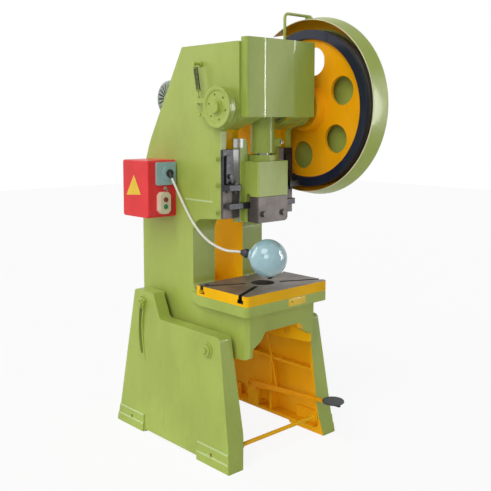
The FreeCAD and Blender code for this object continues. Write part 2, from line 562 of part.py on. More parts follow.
cap = prism([(-68, CRANK_Y - 68, 60), (-68, CRANK_Y + SWEEP + 68, 60), (68, CRANK_Y + SWEEP + 68, 60),
             (68, CRANK_Y - 68, 60)], RAM_TOP_Z, 1472, "z")
cap = cap.cut(prism([(-38, CRANK_Y - 38, 37.9), (-38, CRANK_Y + SWEEP + 38, 37.9),
                     (38, CRANK_Y + SWEEP + 38, 37.9), (38, CRANK_Y - 38, 37.9)], RAM_TOP_Z - 1, 1480, "z"))
save("ball_cap", cap)

bar = block(-235, 215, KNOCK_Y - 11, KNOCK_Y + 11, 1214, 1244)
bar = bar.makeChamfer(2, [e for e in bar.Edges if e.BoundBox.XLength > 400])
save("knockout_bar", bar)

# ---------------------------------------------------------------- gibs and knock-out stops
GIB_FACE_Y = -273.0
gib = prism([(134.3, GIB_FACE_Y, 2), (CHEEK_X, GIB_FACE_Y, 3), (CHEEK_X, JAW_Y), (203.7, JAW_Y),
             (203.7, GIB_SEAT_Y),
             (134.3, GIB_SEAT_Y), (134.3, -233.7), (V_X + CLEAR, -248), (134.3, -262.3)], 1168, 1500, "z")
save("gibs", [gib, mirror_x(gib)])

SHELF_TOP = 1332.0
STOP_X = 190.0
upright = prism([(180, 1335, 3), (225, 1335, 3), (225, 1471, 8), (180, 1471, 8)],
                GIB_FACE_Y - 12, GIB_FACE_Y, "y")
upright = join(upright, hexagon(vec(202, GIB_FACE_Y - 12, 1372), vec(0, -1, 0), 24, 10))
shelf = prism([(143, 1306, 2), (CHEEK_X, 1306, 2), (CHEEK_X, SHELF_TOP, 2), (143, SHELF_TOP, 2)],
              -325, GIB_FACE_Y, "y")
shelf = shelf.cut(block(140, 168, -326, -300, 1300, 1340))
shelf = shelf.cut(rod_z(STOP_X, KNOCK_Y, 8.1, 1300, 1340))
stop_screw = join(rod_z(STOP_X, KNOCK_Y, 8, 1290, 1350),
                  hexagon(vec(STOP_X, KNOCK_Y, SHELF_TOP), vec(0, 0, 1), 22, 9))
stops = [upright, shelf, stop_screw]
save("knockout_stops", stops + [mirror_x(s) for s in stops])

# ---------------------------------------------------------------- front hood, bent from sheet
HOOD_X = 230.0
HOOD_TOP_Z = 2020.0
hood_front = [(-HOOD_X, HEAD_Y), (-HOOD_X, -434, 8), (-90, -442, 400), (90, -442, 400), (HOOD_X, -434, 8),
              (HOOD_X, HEAD_Y), (HOOD_X - 24, HEAD_Y), (HOOD_X - 24, HEAD_Y - 3), (HOOD_X - 3, HEAD_Y - 3),
              (HOOD_X - 3, -431, 5), (90, -439, 400), (-90, -439, 400), (-HOOD_X + 3, -431, 5),
              (-HOOD_X + 3, HEAD_Y - 3), (-HOOD_X + 24, HEAD_Y - 3), (-HOOD_X + 24, HEAD_Y)]
hood = prism(hood_front, 1655, HOOD_TOP_Z - 3, "z")
hood_top = prism([(-HOOD_X, HEAD_Y), (-HOOD_X, -434, 8), (-90, -442, 400), (90, -442, 400),
                  (HOOD_X, -434, 8), (HOOD_X, HEAD_Y)], HOOD_TOP_Z - 3, HOOD_TOP_Z, "z")
save("hood", join(hood, hood_top))

# ---------------------------------------------------------------- band brake on the left shaft end
BAND_X0 = -294.0
BAND_X1 = -266.0
BAND_R = 92.0
BAND_GAP = 20.0


def drum_sector(outer, inner, x0, x1):
    """Ring about the crank axis, open towards the back by BAND_GAP degrees to each side."""
    ring = ring_x(CRANK_Y, CRANK_Z, outer, inner, x0, x1)
    slope = math.tan(math.radians(BAND_GAP))
    wedge = prism([(CRANK_Y, CRANK_Z), (CRANK_Y + 200, CRANK_Z - 200 * slope),
                   (CRANK_Y + 200, CRANK_Z + 200 * slope)], x0 - 1, x1 + 1, "x")
    return ring.cut(wedge)


BRAKE_X = -278.0           # plane of the pull spring and its eye bolt
arm = prism([(-216, 1728), (-212, 1743, 5), (-110, 1746, 12), (-110, 1718, 12), (-198, 1724, 5)],
            BAND_X0 + 5, BAND_X1 - 5, "x")
anchor_ear = prism([(-216, 1656), (-216, 1671), (-150, 1680, 10), (-150, 1654, 10)],
                   BAND_X0 + 5, BAND_X1 - 5, "x")
SPRING_Y = -140.0
ANCHOR_PIN_Y = -165.0
ANCHOR_PIN_Z = 1667.0
band_core = rod_x(CRANK_Y, CRANK_Z, BAND_R + 1.5, -300, -250)
band = join(drum_sector(BAND_R + 3.5, BAND_R, BAND_X0, BAND_X1), arm.cut(band_core),
            anchor_ear.cut(band_core))
band = band.cut(rod_x(ANCHOR_PIN_Y, ANCHOR_PIN_Z, 7.1, -300, -250))
band = band.cut(rod_z(BRAKE_X, SPRING_Y, 3.2, 1700, 1760))
save("brake_band", band)
save("brake_lining", drum_sector(BAND_R, 88.3, BAND_X0, BAND_X1))

# Tension spring: one wire, its turns are half-turn biarcs of a helix, with a straight tail at each end.
WIRE_R = 2.1
COIL_R = 10.0
COIL_TURNS = 11
COIL_LOW = vec(BRAKE_X, SPRING_Y, 1786)
COIL_HIGH = vec(BRAKE_X, -120, 1888)


def biarc(start, start_way, end, end_way):
    """Two tangent arcs from start to end with the given directions there."""
    chord = end - start
    ways = start_way + end_way
    spread = 2 * (1 - start_way.dot(end_way))
    reach = (math.sqrt(chord.dot(ways) ** 2 + spread * chord.dot(chord)) - chord.dot(ways)) / spread
    middle = (start + end + (start_way - end_way) * reach) * 0.5
    arcs = []
    for a, b, corner in ((start, middle, start + start_way * reach), (middle, end, end - end_way * reach)):
        half = (corner - a).getAngle(b - a)
        base = (a + b) * 0.5
        top = base + (corner - base) * (math.tan(half / 2) / math.tan(half))
        arcs.append(Part.Arc(a, top, b).toShape())
    return arcs


coil_axis = (COIL_HIGH - COIL_LOW).normalize()
coil_side = vec(1, 0, 0)
coil_back = coil_axis.cross(coil_side)
pitch = (COIL_HIGH - COIL_LOW).Length / COIL_TURNS


def coil_point(turns):
    a = 2 * math.pi * turns
    spoke = coil_side * math.cos(a) + coil_back * math.sin(a)
    return COIL_LOW + spoke * COIL_R + coil_axis * (pitch * turns)


def coil_way(turns):
    a = 2 * math.pi * turns
    round_way = (coil_back * math.cos(a) - coil_side * math.sin(a)) * (2 * math.pi * COIL_R)
    return (round_way + coil_axis * pitch).normalize()


coil_edges = []
for half_turn in range(2 * COIL_TURNS):
    here, there = half_turn / 2, (half_turn + 1) / 2
    coil_edges += biarc(coil_point(here), coil_way(here), coil_point(there), coil_way(there))
TAIL = 2 * WIRE_R
first, last = coil_point(0), coil_point(COIL_TURNS)
coil_edges.insert(0, Part.makeLine(first - coil_way(0) * TAIL, first))
coil_edges.append(Part.makeLine(last, last + coil_way(COIL_TURNS) * TAIL))
coil_wire = Part.Wire(coil_edges)
section = Part.Wire(Part.makeCircle(WIRE_R, first - coil_way(0) * TAIL, coil_way(0)))
spring = coil_wire.makePipeShell([section], True, False)
samples = [coil_point(i / 24) for i in range(24 * COIL_TURNS + 1)]
gap = min((samples[i] - samples[j]).Length for i in range(len(samples))
          for j in range(i + 12, min(i + 30, len(samples)))) - 2 * WIRE_R
print("brake spring: least gap between turns %.2f mm, volume against section x length %.3f"
      % (gap, spring.Volume / (math.pi * WIRE_R ** 2 * coil_wire.Length)))
save("brake_spring", spring)

POST_Y = -117.0
POST_Z = 1911.0
SEAT_R = 13.0
anchor_pin = join(rod_x(ANCHOR_PIN_Y, ANCHOR_PIN_Z, 7, BAND_X0 - 1, -CHEEK_X),
                  rod_x(ANCHOR_PIN_Y, ANCHOR_PIN_Z, 14, BAND_X1 + 1, -CHEEK_X))
seat_gap = WIRE_R + 0.75
high_seat = rod_between(COIL_HIGH + coil_axis * seat_gap, COIL_HIGH + coil_axis * (seat_gap + 3), SEAT_R)
high_stem = rod_between(COIL_HIGH + coil_axis * (seat_gap + 1), vec(BRAKE_X, POST_Y, POST_Z), 3)
spring_post = join(rod_x(POST_Y, POST_Z, 7, -292, -CHEEK_X), rod_x(POST_Y, POST_Z, 13, -252, -CHEEK_X),
                   rod_x(POST_Y, POST_Z, 10, -292, -286), high_stem, high_seat)
low_seat = rod_between(COIL_LOW - coil_axis * (seat_gap + 3), COIL_LOW - coil_axis * seat_gap, SEAT_R)
eye_bolt = join(rod_z(BRAKE_X, SPRING_Y, 3, 1712, 1781.5), low_seat,
                hexagon(vec(BRAKE_X, SPRING_Y, 1746.5), vec(0, 0, 1), 14, 7),
                hexagon(vec(BRAKE_X, SPRING_Y, 1710), vec(0, 0, 1), 14, 7))
save("brake_posts", [anchor_pin, spring_post, eye_bolt])

# ---------------------------------------------------------------- clutch latch and its linkage
LINK_Y = -10.0
trip = prism([(TRIP_Y + 16, TRIP_Z + 16, 12), (TRIP_Y + 16, TRIP_Z - 16, 12), (-52, TRIP_Z - 11, 9),
              (-52, TRIP_Z + 11, 9)], 243, 251.5, "x").cut(rod_x(TRIP_Y, TRIP_Z, 9 + RUN, 240, 260))
trip = trip.cut(rod_x(LINK_Y, TRIP_Z, 7, 240, 260))
save("trip_lever", trip)

LINK_X = 255.0
link = rod_between(vec(LINK_X, LINK_Y, TRIP_Z), vec(LINK_X, LINK_Y, LATCH_Z), 3)
for z in (TRIP_Z, LATCH_Z):
    link = join(link, rod_x(LINK_Y, z, 10, LINK_X - 3, LINK_X + 3), rod_x(LINK_Y, z, 4, 244, LINK_X))
save("clutch_rod", link)

TOE_Z = CRANK_Z + 8.8
latch = prism([(LATCH_Y - 16, LATCH_Z - 10, 10), (LATCH_Y + 10, LATCH_Z - 18, 10), (6, LATCH_Z - 13, 8),
               (6, LATCH_Z + 13, 8), (LATCH_Y + 20, LATCH_Z + 16, 14), (-186, TOE_Z + 15, 4),
               (-205, TOE_Z + 15, 3), (-205, TOE_Z, 1), (-194, TOE_Z, 6)], 243, 251.5, "x")
toe = join(prism([(-190, TOE_Z + 15, 4), (-205, TOE_Z + 15, 3), (-205, TOE_Z, 1), (-194, TOE_Z, 4)],
                 250, 260, "x"),
           prism([(-190, TOE_Z + 15, 4), (-208, TOE_Z + 15, 3), (-211, TOE_Z, 1), (-194, TOE_Z, 4)],
                 258.4, 273, "x"))
latch = join(latch, toe)
latch = latch.cut(rod_x(LATCH_Y, LATCH_Z, 9 + RUN, 240, 280)).cut(rod_x(LINK_Y, LATCH_Z, 7, 240, 280))
save("clutch_latch", latch)

# ---------------------------------------------------------------- flywheel guard and its stay
GUARD_OPEN_TOP = 70.0      # the hoop is open to the back between these angles
GUARD_OPEN_LOW = -60.0
WINDOW_Y = -345.0
WINDOW_R = 330.0
WINDOW_DROP = 70.0         # the window starts this far below the guard's centre
GUARD_SKIN = [(GUARD_X0, GUARD_LIP_R - 3), (GUARD_X0 - 2, GUARD_LIP_R + 4), (GUARD_X0 + 4, GUARD_LIP_R + 5),
              (390, GUARD_FAR_R), (GUARD_X1 - 1, GUARD_FAR_R - 3), (GUARD_X1 + 2, GUARD_FAR_R - 12),
              (GUARD_X1 + 2, 0), (GUARD_X1, 0), (GUARD_X1, GUARD_FAR_R - 13),
              (GUARD_X1 - 3, GUARD_FAR_R - 6), (389, GUARD_FAR_R - 3), (GUARD_X0 + 3, GUARD_LIP_R)]
hoop = revolve_x(GUARD_SKIN, CRANK_Y, GUARD_Z)
MOUTH_Y = CRANK_Y + 30
FAR = 900.0


def mouth_corner(angle):
    return (MOUTH_Y + FAR * math.cos(math.radians(angle)), GUARD_Z + FAR * math.sin(math.radians(angle)))


low_corner, top_corner = mouth_corner(GUARD_OPEN_LOW), mouth_corner(GUARD_OPEN_TOP)
mouth = prism([(MOUTH_Y, GUARD_Z), low_corner, (MOUTH_Y + FAR, low_corner[1]),
               (MOUTH_Y + FAR, top_corner[1]), top_corner], 290, 420, "x")
window = rod_x(CRANK_Y, GUARD_Z, WINDOW_R, 394, 404)
window = window.common(block(390, 410, WINDOW_Y, 400, GUARD_Z - WINDOW_DROP, 2300))
save("flywheel_guard", hoop.cut(mouth).cut(window))

STAY_R = 7.5
STAY_X = 150.0
STAY_Z = 2170.0


def tube_through(points, radius, radii):
    """Round tube along straight runs joined by tangent arcs of the given radii."""
    edges = []
    here = points[0]
    for i in range(1, len(points) - 1):
        corner = points[i]
        back, on = (points[i - 1] - corner).normalize(), (points[i + 1] - corner).normalize()
        half = back.getAngle(on) / 2
        reach = radii[i - 1] / math.tan(half)
        inward = (back + on).normalize()
        start, end = corner + back * reach, corner + on * reach
        edges.append(Part.LineSegment(here, start).toShape())
        middle = corner + inward * (radii[i - 1] / math.sin(half) - radii[i - 1])
        edges.append(Part.Arc(start, middle, end).toShape())
        here = end
    edges.append(Part.LineSegment(here, points[-1]).toShape())
    wire = Part.Wire(edges)
    disc = Part.Wire(Part.makeCircle(radius, points[0], points[1] - points[0]))
    tube = wire.makePipeShell([disc], True, False)
    print("tube: volume against section x length %.4f, radii %s"
          % (tube.Volume / (math.pi * radius ** 2 * wire.Length), [round(r) for r in radii]))
    return tube


stay = tube_through([vec(STAY_X, CRANK_Y, TOP_Z), vec(STAY_X, CRANK_Y, STAY_Z), vec(338, CRANK_Y, STAY_Z)],
                    STAY_R, [24])
guard_body = revolve_x([(GUARD_X0 + 4, 0), (GUARD_X0 + 4, GUARD_LIP_R + 5), (390, GUARD_FAR_R), (390, 0)],
                       CRANK_Y, GUARD_Z)
saddle = block(314, 340, CRANK_Y - 14, CRANK_Y + 14, STAY_Z - 24, STAY_Z - 2).cut(guard_body)
low_angle = math.radians(-66)
low_y = CRANK_Y + (GUARD_LIP_R + 14) * math.cos(low_angle)
low_z = GUARD_Z + (GUARD_LIP_R + 14) * math.sin(low_angle)
low_stay = join(rod_x(low_y, low_z, 8, CHEEK_X, 322), rod_x(low_y, low_z, 20, CHEEK_X, CHEEK_X + 8))
high_stay = join(stay, saddle, rod_z(STAY_X, CRANK_Y, 20, TOP_Z, TOP_Z + 8))
save("guard_stays", [high_stay, low_stay.cut(guard_body)])


# ---------------------------------------------------------------- motor on its plate
def slope_point(along, out):
    point = vec(0, BACK_Y, SLOPE_FOOT_Z) + SLOPE * along + SLOPE_OUT * out
    return (point.y, point.z)


def slope_prism(points, x0, x1):
    return prism([slope_point(p[0], p[1]) + tuple(p[2:]) for p in points], x0, x1, "x")


def slope_rod(x, along, radius, out0, out1):
    y, z = slope_point(along, out0)
    return Part.makeCylinder(radius, out1 - out0, vec(x, y, z), SLOPE_OUT)


MOTOR_ALONG = 314.6
STANDOFF = 28.0
PLATE = 20.0
FEET = STANDOFF + PLATE
motor_plate = slope_prism([(215, STANDOFF, 4), (215, FEET, 4), (414, FEET, 4), (414, STANDOFF, 4)],
                          -190, 240)
spacers = []
for x in (-152, 222):
    for along in (236, 393):
        spacer = join(slope_rod(x, along, 14, 0, STANDOFF), slope_rod(x, along, 8, STANDOFF, FEET + 1))
        y, z = slope_point(along, FEET)
        spacers.append(join(spacer, hexagon(vec(x, y, z), SLOPE_OUT, 24, 14)))
        motor_plate = motor_plate.cut(slope_rod(x, along, 8.1, 0, 100))
save("motor_plate", [motor_plate] + spacers)

SHAFT_R = 14.0
motor = revolve_x([(-30, 0), (-30, 90), (-18, 94), (222, 94), (250, 60), (252, 44), (262, 40), (262, 0)],
                  MOTOR_Y, MOTOR_Z)
FOOT_OUTLINE = [(-98, 0), (-98, 13, 4), (-66, 15, 8), (-50, 60), (50, 60), (66, 15, 8), (98, 13, 4), (98, 0),
                (58, 0), (42, 9, 6), (-42, 9, 6), (-58, 0)]
feet = slope_prism([(p[0] + MOTOR_ALONG, p[1] + FEET) + tuple(p[2:]) for p in FOOT_OUTLINE], 30, 186)
FINS = 36
fins = []
for i in range(FINS):
    turn = 360 / FINS * i
    if 140 < turn < 280:
        continue
    fin = block(-10, 200, 90, 102, -1.5, 1.5)
    fin.rotate(vec(0, 0, 0), vec(1, 0, 0), turn)
    fin.translate(vec(0, MOTOR_Y, MOTOR_Z))
    fins.append(fin)
motor = join(motor, feet, *fins)
save("motor_housing", motor.cut(rod_x(MOTOR_Y, MOTOR_Z, SHAFT_R + RUN, -100, 300)))

COVER_SLOTS = 18
terminal = block(62, 158, -48, 48, 92, 134)
terminal = terminal.makeFillet(6, [e for e in terminal.Edges if e.BoundBox.ZLength > 40])
terminal.translate(vec(0, MOTOR_Y, MOTOR_Z))
save("terminal_box", terminal.cut(join(rod_x(MOTOR_Y, MOTOR_Z, 94, 40, 180), *fins)))

cover = revolve_x([(-30.2, 96.5), (-30.2, 99), (-76, 99), (-88, 95), (-95, 84), (-95, 16), (-92.5, 16),
                   (-92.5, 83), (-86.5, 92.8), (-75.6, 96.5)], MOTOR_Y, MOTOR_Z)
for i in range(COVER_SLOTS):
    opening = block(-100, -88, 26, 76, -3.5, 3.5)
    opening.rotate(vec(0, 0, 0), vec(1, 0, 0), 360 / COVER_SLOTS * i)
    opening.translate(vec(0, MOTOR_Y, MOTOR_Z))
    cover = cover.cut(opening)
cover = join(cover, ring_x(MOTOR_Y, MOTOR_Z, 97, 90, -30.2, -27).cut(rod_x(MOTOR_Y, MOTOR_Z, 94.1, -40, 0)),
             rod_x(MOTOR_Y, MOTOR_Z, 18, -95, -92.5))
save("motor_fan_cover", cover)

save("motor_shaft", rod_x(MOTOR_Y, MOTOR_Z, SHAFT_R, -78, FLY_X1 - 2))
fan = ring_x(MOTOR_Y, MOTOR_Z, 26, SHAFT_R, -74, -46)
BLADES = 7
for i in range(BLADES):
    blade = block(-74, -46, 20, 82, -1.5, 1.5)
    blade.rotate(vec(0, 0, 0), vec(1, 0, 0), 360 / BLADES * i)
    blade.translate(vec(0, MOTOR_Y, MOTOR_Z))
    fan = join(fan, blade)
save("motor_fan", fan)

pulley_outline = [(FLY_X0, SHAFT_R), (FLY_X0, PULLEY_R)]
for i in range(BELT_COUNT):
    middle = first_groove + i * BELT_PITCH
    pulley_outline += [(middle - GROOVE_TOP, PULLEY_R), (middle - GROOVE_FOOT, PULLEY_R - GROOVE_DEEP),
                       (middle + GROOVE_FOOT, PULLEY_R - GROOVE_DEEP), (middle + GROOVE_TOP, PULLEY_R)]
pulley_outline += [(FLY_X1, PULLEY_R), (FLY_X1, SHAFT_R)]
save("motor_pulley", revolve_x(pulley_outline, MOTOR_Y, MOTOR_Z))

BELT_TOP = 0.5
BELT_DEEP = 11.0
centres = math.hypot(MOTOR_Y - CRANK_Y, MOTOR_Z - CRANK_Z)
wrap = math.acos((FLY_R - PULLEY_R) / centres)
heading = math.atan2(MOTOR_Z - CRANK_Z, MOTOR_Y - CRANK_Y)
belts = []


def round_wheel(middle, angle):
    """Points on the belt's outer line at an angle round the flywheel and round the pulley."""
    spoke = vec(0, math.cos(angle), math.sin(angle))
    return (vec(middle, CRANK_Y, CRANK_Z) + spoke * (FLY_R - BELT_TOP),
            vec(middle, MOTOR_Y, MOTOR_Z) + spoke * (PULLEY_R - BELT_TOP))


for i in range(BELT_COUNT):
    middle = first_groove + i * BELT_PITCH
    fly_top, seat = round_wheel(middle, heading + wrap)
    fly_low, pulley_low = round_wheel(middle, heading - wrap)
    loop = Part.Wire([Part.makeLine(seat, fly_top),
                      Part.Arc(fly_top, round_wheel(middle, heading + math.pi)[0], fly_low).toShape(),
                      Part.makeLine(fly_low, pulley_low),
                      Part.Arc(pulley_low, round_wheel(middle, heading)[1], seat).toShape()])
    inward = (vec(middle, MOTOR_Y, MOTOR_Z) - seat).normalize()
    side = vec(1, 0, 0)
    corners = [seat - side * 8.0, seat + side * 8.0, seat + side * 4.9 + inward * BELT_DEEP,
               seat - side * 4.9 + inward * BELT_DEEP]
    belts.append(loop.makePipeShell([Part.makePolygon(corners + corners[:1])], True, False))
save("v_belts", belts)

# ---------------------------------------------------------------- electric box on the left cheek
BOX_BODY_X = -373.0
SHEET = 2.5
HINGE_Y = BOX_BACK_Y + 5.6
HINGE_R = 5.0
HINGE_PIN_R = 2.9
HINGE_ZS = (1190, 1350)
KNUCKLE = 19.0
GLAND_X = -294.0
GLAND_Z = 1374.0


def rounded_box(inset, radius, x0, x1):
    """Box with rounded corners seen from the side, its outline inset from the case's."""
    y0, y1, z0, z1 = BOX_FRONT_Y + inset, BOX_BACK_Y - inset, BOX_Z0 + inset, BOX_Z1 - inset
    return prism([(y0, z0, radius), (y0, z1, radius), (y1, z1, radius), (y1, z0, radius)], x0, x1, "x")


case = rounded_box(0, 14, BOX_BODY_X, -CHEEK_X).cut(rounded_box(SHEET, 12, BOX_BODY_X - 1, -CHEEK_X - SHEET))
door = rounded_box(0, 14, BOX_X, BOX_BODY_X - CLEAR)
door = door.makeFillet(5, [e for e in door.Edges if e.BoundBox.XMax < BOX_X + 0.1])
door = door.cut(rounded_box(SHEET, 12, BOX_X + 6, BOX_BODY_X + 1))
for z in HINGE_ZS:
    middle, top = z + KNUCKLE, z + 2 * KNUCKLE
    case = join(case, rod_z(BOX_BODY_X, HINGE_Y, HINGE_R, z, middle),
                rod_z(BOX_BODY_X, HINGE_Y, HINGE_PIN_R, z, top + 1),
                block(BOX_BODY_X + 2, BOX_BODY_X + 16, BOX_BACK_Y, HINGE_Y, z, middle))
    leaf = block(BOX_BODY_X - 16, BOX_BODY_X - 2.5, BOX_BACK_Y - 0.5, HINGE_Y, middle + CLEAR, top)
    knuckle = join(rod_z(BOX_BODY_X, HINGE_Y, HINGE_R, middle + CLEAR, top), leaf)
    door = join(door, knuckle).cut(rod_z(BOX_BODY_X, HINGE_Y, HINGE_PIN_R + RUN, z, top + 2))
case = case.cut(rod_y(GLAND_X, GLAND_Z, 8, BOX_FRONT_Y - 1, BOX_FRONT_Y + 5))
save("control_box", case)
save("box_door", door)

contactor = join(block(-265, -CHEEK_X - SHEET, 120, 288, 1180, 1400),
                 block(-330, -264, 140, 200, 1290, 1370),
                 block(-320, -264, 215, 270, 1290, 1370),
                 block(-300, -264, 135, 275, 1195, 1225))
save("contactor", contactor)

BUTTON_X = -328.0
STOP_Z = 1243.0
START_Z = 1208.0
BUTTON_R = 12.0
STATION_X0 = BUTTON_X - 33
STATION_X1 = BUTTON_X + 33
STATION_Z0 = 1171.0
STATION_Z1 = 1281.0
BEVEL = 16.0
station = prism([(STATION_X0, STATION_Z0 + BEVEL), (STATION_X0 + BEVEL, STATION_Z0),
                 (STATION_X1 - BEVEL, STATION_Z0), (STATION_X1, STATION_Z0 + BEVEL),
                 (STATION_X1, STATION_Z1 - BEVEL), (STATION_X1 - BEVEL, STATION_Z1),
                 (STATION_X0 + BEVEL, STATION_Z1), (STATION_X0, STATION_Z1 - BEVEL)], 62, BOX_FRONT_Y, "y")
for z in (STOP_Z, START_Z):
    station = station.cut(rod_y(BUTTON_X, z, BUTTON_R + CLEAR, 61, 86))
SWITCH_X = -310.0
SWITCH_Z = 1298.0
collar = rod_y(SWITCH_X, SWITCH_Z, 9, 86, BOX_FRONT_Y).cut(rod_y(SWITCH_X, SWITCH_Z, 5.6, 85, 94))
save("button_station", [station, collar])
save("stop_button", rod_y(BUTTON_X, STOP_Z, BUTTON_R, 55, 78))
save("start_button", rod_y(BUTTON_X, START_Z, BUTTON_R, 58, 78))

SWITCH_Y = 87.5
lever_way = vec(0, -17.5, -11).normalize()
toggle = join(rod_x(SWITCH_Y, SWITCH_Z, 4.6, SWITCH_X - 3, SWITCH_X + 3),
              Part.makeCone(2.2, 3.4, 22, vec(SWITCH_X, SWITCH_Y, SWITCH_Z), lever_way))
save("lamp_switch", toggle)

base = prism([(-367, 1315, 8), (-367, 1431, 8), (-247, 1431, 8), (-247, 1315, 8)], 81, BOX_FRONT_Y, "y")
NECK_R = 6.5
NECK_START = vec(-290, 70, 1364)
NECK_SECOND = vec(-276, 36, 1290)
nose_way = (NECK_SECOND - NECK_START).normalize()
gland = join(rod_y(GLAND_X, GLAND_Z + 2, 38, 74, 82), rod_y(GLAND_X, GLAND_Z, 20, 66, 76),
             Part.makeCone(15, 9.5, 36, NECK_START - nose_way * 20, nose_way))
gland = gland.cut(block(-340, -220, BOX_FRONT_Y, 130, 1300, 1430))
save("lamp_base", join(base, gland).cut(rod_between(NECK_START, NECK_START + nose_way * 40, NECK_R + 0.15)))

LAMP = vec(-143.5, -485, 996)
LAMP_R = 90.0
socket_way = vec(0.717, -0.66, -0.223).normalize()
SOCKET = LAMP - socket_way * 112
neck_end = SOCKET - socket_way * 20
neck_points = [NECK_START, NECK_SECOND, vec(-271.5, -22, 1205), vec(-267, -76, 1136),
               vec(-262, -136, 1083), vec(-258, -206, 1044), vec(-256, -290, 1026),
               vec(-257, -352, 1023), neck_end - socket_way * 22, neck_end]
radii = []
for i in range(1, len(neck_points) - 1):
    one, two = neck_points[i] - neck_points[i - 1], neck_points[i + 1] - neck_points[i]
    turn = one.getAngle(two)
    radii.append(0.45 * min(one.Length, two.Length) / math.tan(turn / 2))
save("gooseneck", tube_through(neck_points, NECK_R, radii))

shell = Part.makeCone(13, 20, 24, SOCKET - socket_way * 20, socket_way)
shell = join(shell, rod_between(SOCKET + socket_way * 4, SOCKET + socket_way * 20, 22),
             rod_between(SOCKET + socket_way * 20, SOCKET + socket_way * 28, 17))
save("lamp_socket", shell)
globe_neck = rod_between(SOCKET + socket_way * 20, SOCKET + socket_way * 40, 24)
globe = join(Part.makeSphere(LAMP_R, LAMP), globe_neck)
globe = globe.cut(Part.makeSphere(LAMP_R - 3, LAMP)).cut(rod_between(SOCKET, SOCKET + socket_way * 40, 17))
save("lamp_globe", globe)
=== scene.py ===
"""Open-back inclinable stamping press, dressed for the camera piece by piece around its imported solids."""
import math

import bmesh
import bpy
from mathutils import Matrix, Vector


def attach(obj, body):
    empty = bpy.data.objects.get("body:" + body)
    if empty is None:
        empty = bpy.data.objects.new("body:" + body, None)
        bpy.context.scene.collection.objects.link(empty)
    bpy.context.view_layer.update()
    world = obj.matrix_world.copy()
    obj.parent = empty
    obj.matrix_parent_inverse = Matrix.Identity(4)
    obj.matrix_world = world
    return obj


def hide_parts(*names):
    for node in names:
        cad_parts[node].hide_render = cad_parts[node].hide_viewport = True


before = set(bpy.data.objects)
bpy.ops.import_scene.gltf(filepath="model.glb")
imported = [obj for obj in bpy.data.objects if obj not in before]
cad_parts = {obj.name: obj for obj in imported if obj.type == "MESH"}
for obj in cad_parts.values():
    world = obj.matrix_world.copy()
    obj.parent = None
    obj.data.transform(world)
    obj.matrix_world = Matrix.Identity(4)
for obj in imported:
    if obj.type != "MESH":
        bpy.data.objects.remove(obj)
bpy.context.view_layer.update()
scene = bpy.context.scene
scene.view_settings.view_transform = "Standard"

# ---------------------------------------------------------------- camera
# Stands at the front left corner of the press, at the eye height of an operator, and looks a little down.
# Its picture is shifted down, so that the feet are in it too.
PHOTO_SIDE = 491
FOCAL_PIXELS = 751.25
CAMERA_PLACE = (-2.5812, -2.9661, 1.6308)
CAMERA_DIP = 5.645
CAMERA_BEARING = 42.746
PICTURE_SHIFT = -0.10
camera_data = bpy.data.cameras.new("camera")
camera_data.sensor_width = 36.0
camera_data.lens = FOCAL_PIXELS / PHOTO_SIDE * camera_data.sensor_width
camera_data.shift_y = PICTURE_SHIFT
camera = bpy.data.objects.new("camera", camera_data)
camera.location = CAMERA_PLACE
camera.rotation_euler = (math.radians(90 - CAMERA_DIP), 0, math.radians(-CAMERA_BEARING))
scene.collection.objects.link(camera)
scene.camera = camera


# ---------------------------------------------------------------- floor, world and lamps
# A plain white floor and white surroundings; soft lamps high and low on the left, one behind, and
# two strips in front on the right that only draw highlights on the coats.
def wire(tree, kind, settings=None, **sockets):
    """Add one shader node, set its options, and join or fill its sockets (spaces written as _)."""
    made = tree.nodes.new(kind)
    for key, value in (settings or {}).items():
        setattr(made, key, value)
    for key, value in sockets.items():
        socket = made.inputs[key.replace("_", " ")]
        if isinstance(value, bpy.types.NodeSocket):
            tree.links.new(value, socket)
        else:
            socket.default_value = value
    return made


def seen_directly(tree):
    """1 for camera, glossy and transmission rays, 0 for the rays that carry light."""
    rays = tree.nodes.new("ShaderNodeLightPath").outputs
    first = wire(tree, "ShaderNodeMath", {"operation": "MAXIMUM"})
    tree.links.new(rays["Is Camera Ray"], first.inputs[0])
    tree.links.new(rays["Is Glossy Ray"], first.inputs[1])
    second = wire(tree, "ShaderNodeMath", {"operation": "MAXIMUM"})
    tree.links.new(first.outputs[0], second.inputs[0])
    tree.links.new(rays["Is Transmission Ray"], second.inputs[1])
    return second.outputs[0]


FLOOR_REACH = 14.0
FLOOR_WHITE = 0.90
WORLD_LIGHT = 0.23
floor_mesh = bpy.data.meshes.new("floor")
floor_mesh.from_pydata([(-FLOOR_REACH, -FLOOR_REACH, 0), (FLOOR_REACH, -FLOOR_REACH, 0),
                        (FLOOR_REACH, FLOOR_REACH, 0), (-FLOOR_REACH, FLOOR_REACH, 0)], [], [(0, 1, 2, 3)])
floor = bpy.data.objects.new("floor", floor_mesh)
scene.collection.objects.link(floor)
floor_paint = bpy.data.materials.new("floor_paint")
floor_paint.use_nodes = True
tree = floor_paint.node_tree
tree.nodes.remove(tree.nodes["Principled BSDF"])
matt = wire(tree, "ShaderNodeBsdfDiffuse", Color=(0.88, 0.88, 0.88, 1))
plain = wire(tree, "ShaderNodeEmission", Color=(1, 1, 1, 1), Strength=1.0)
share = wire(tree, "ShaderNodeMath", {"operation": "MULTIPLY"})
tree.links.new(seen_directly(tree), share.inputs[0])
share.inputs[1].default_value = FLOOR_WHITE
laid = wire(tree, "ShaderNodeMixShader", Fac=share.outputs[0])
tree.links.new(matt.outputs[0], laid.inputs[1])
tree.links.new(plain.outputs[0], laid.inputs[2])
tree.links.new(laid.outputs[0], tree.nodes["Material Output"].inputs["Surface"])
floor_mesh.materials.append(floor_paint)

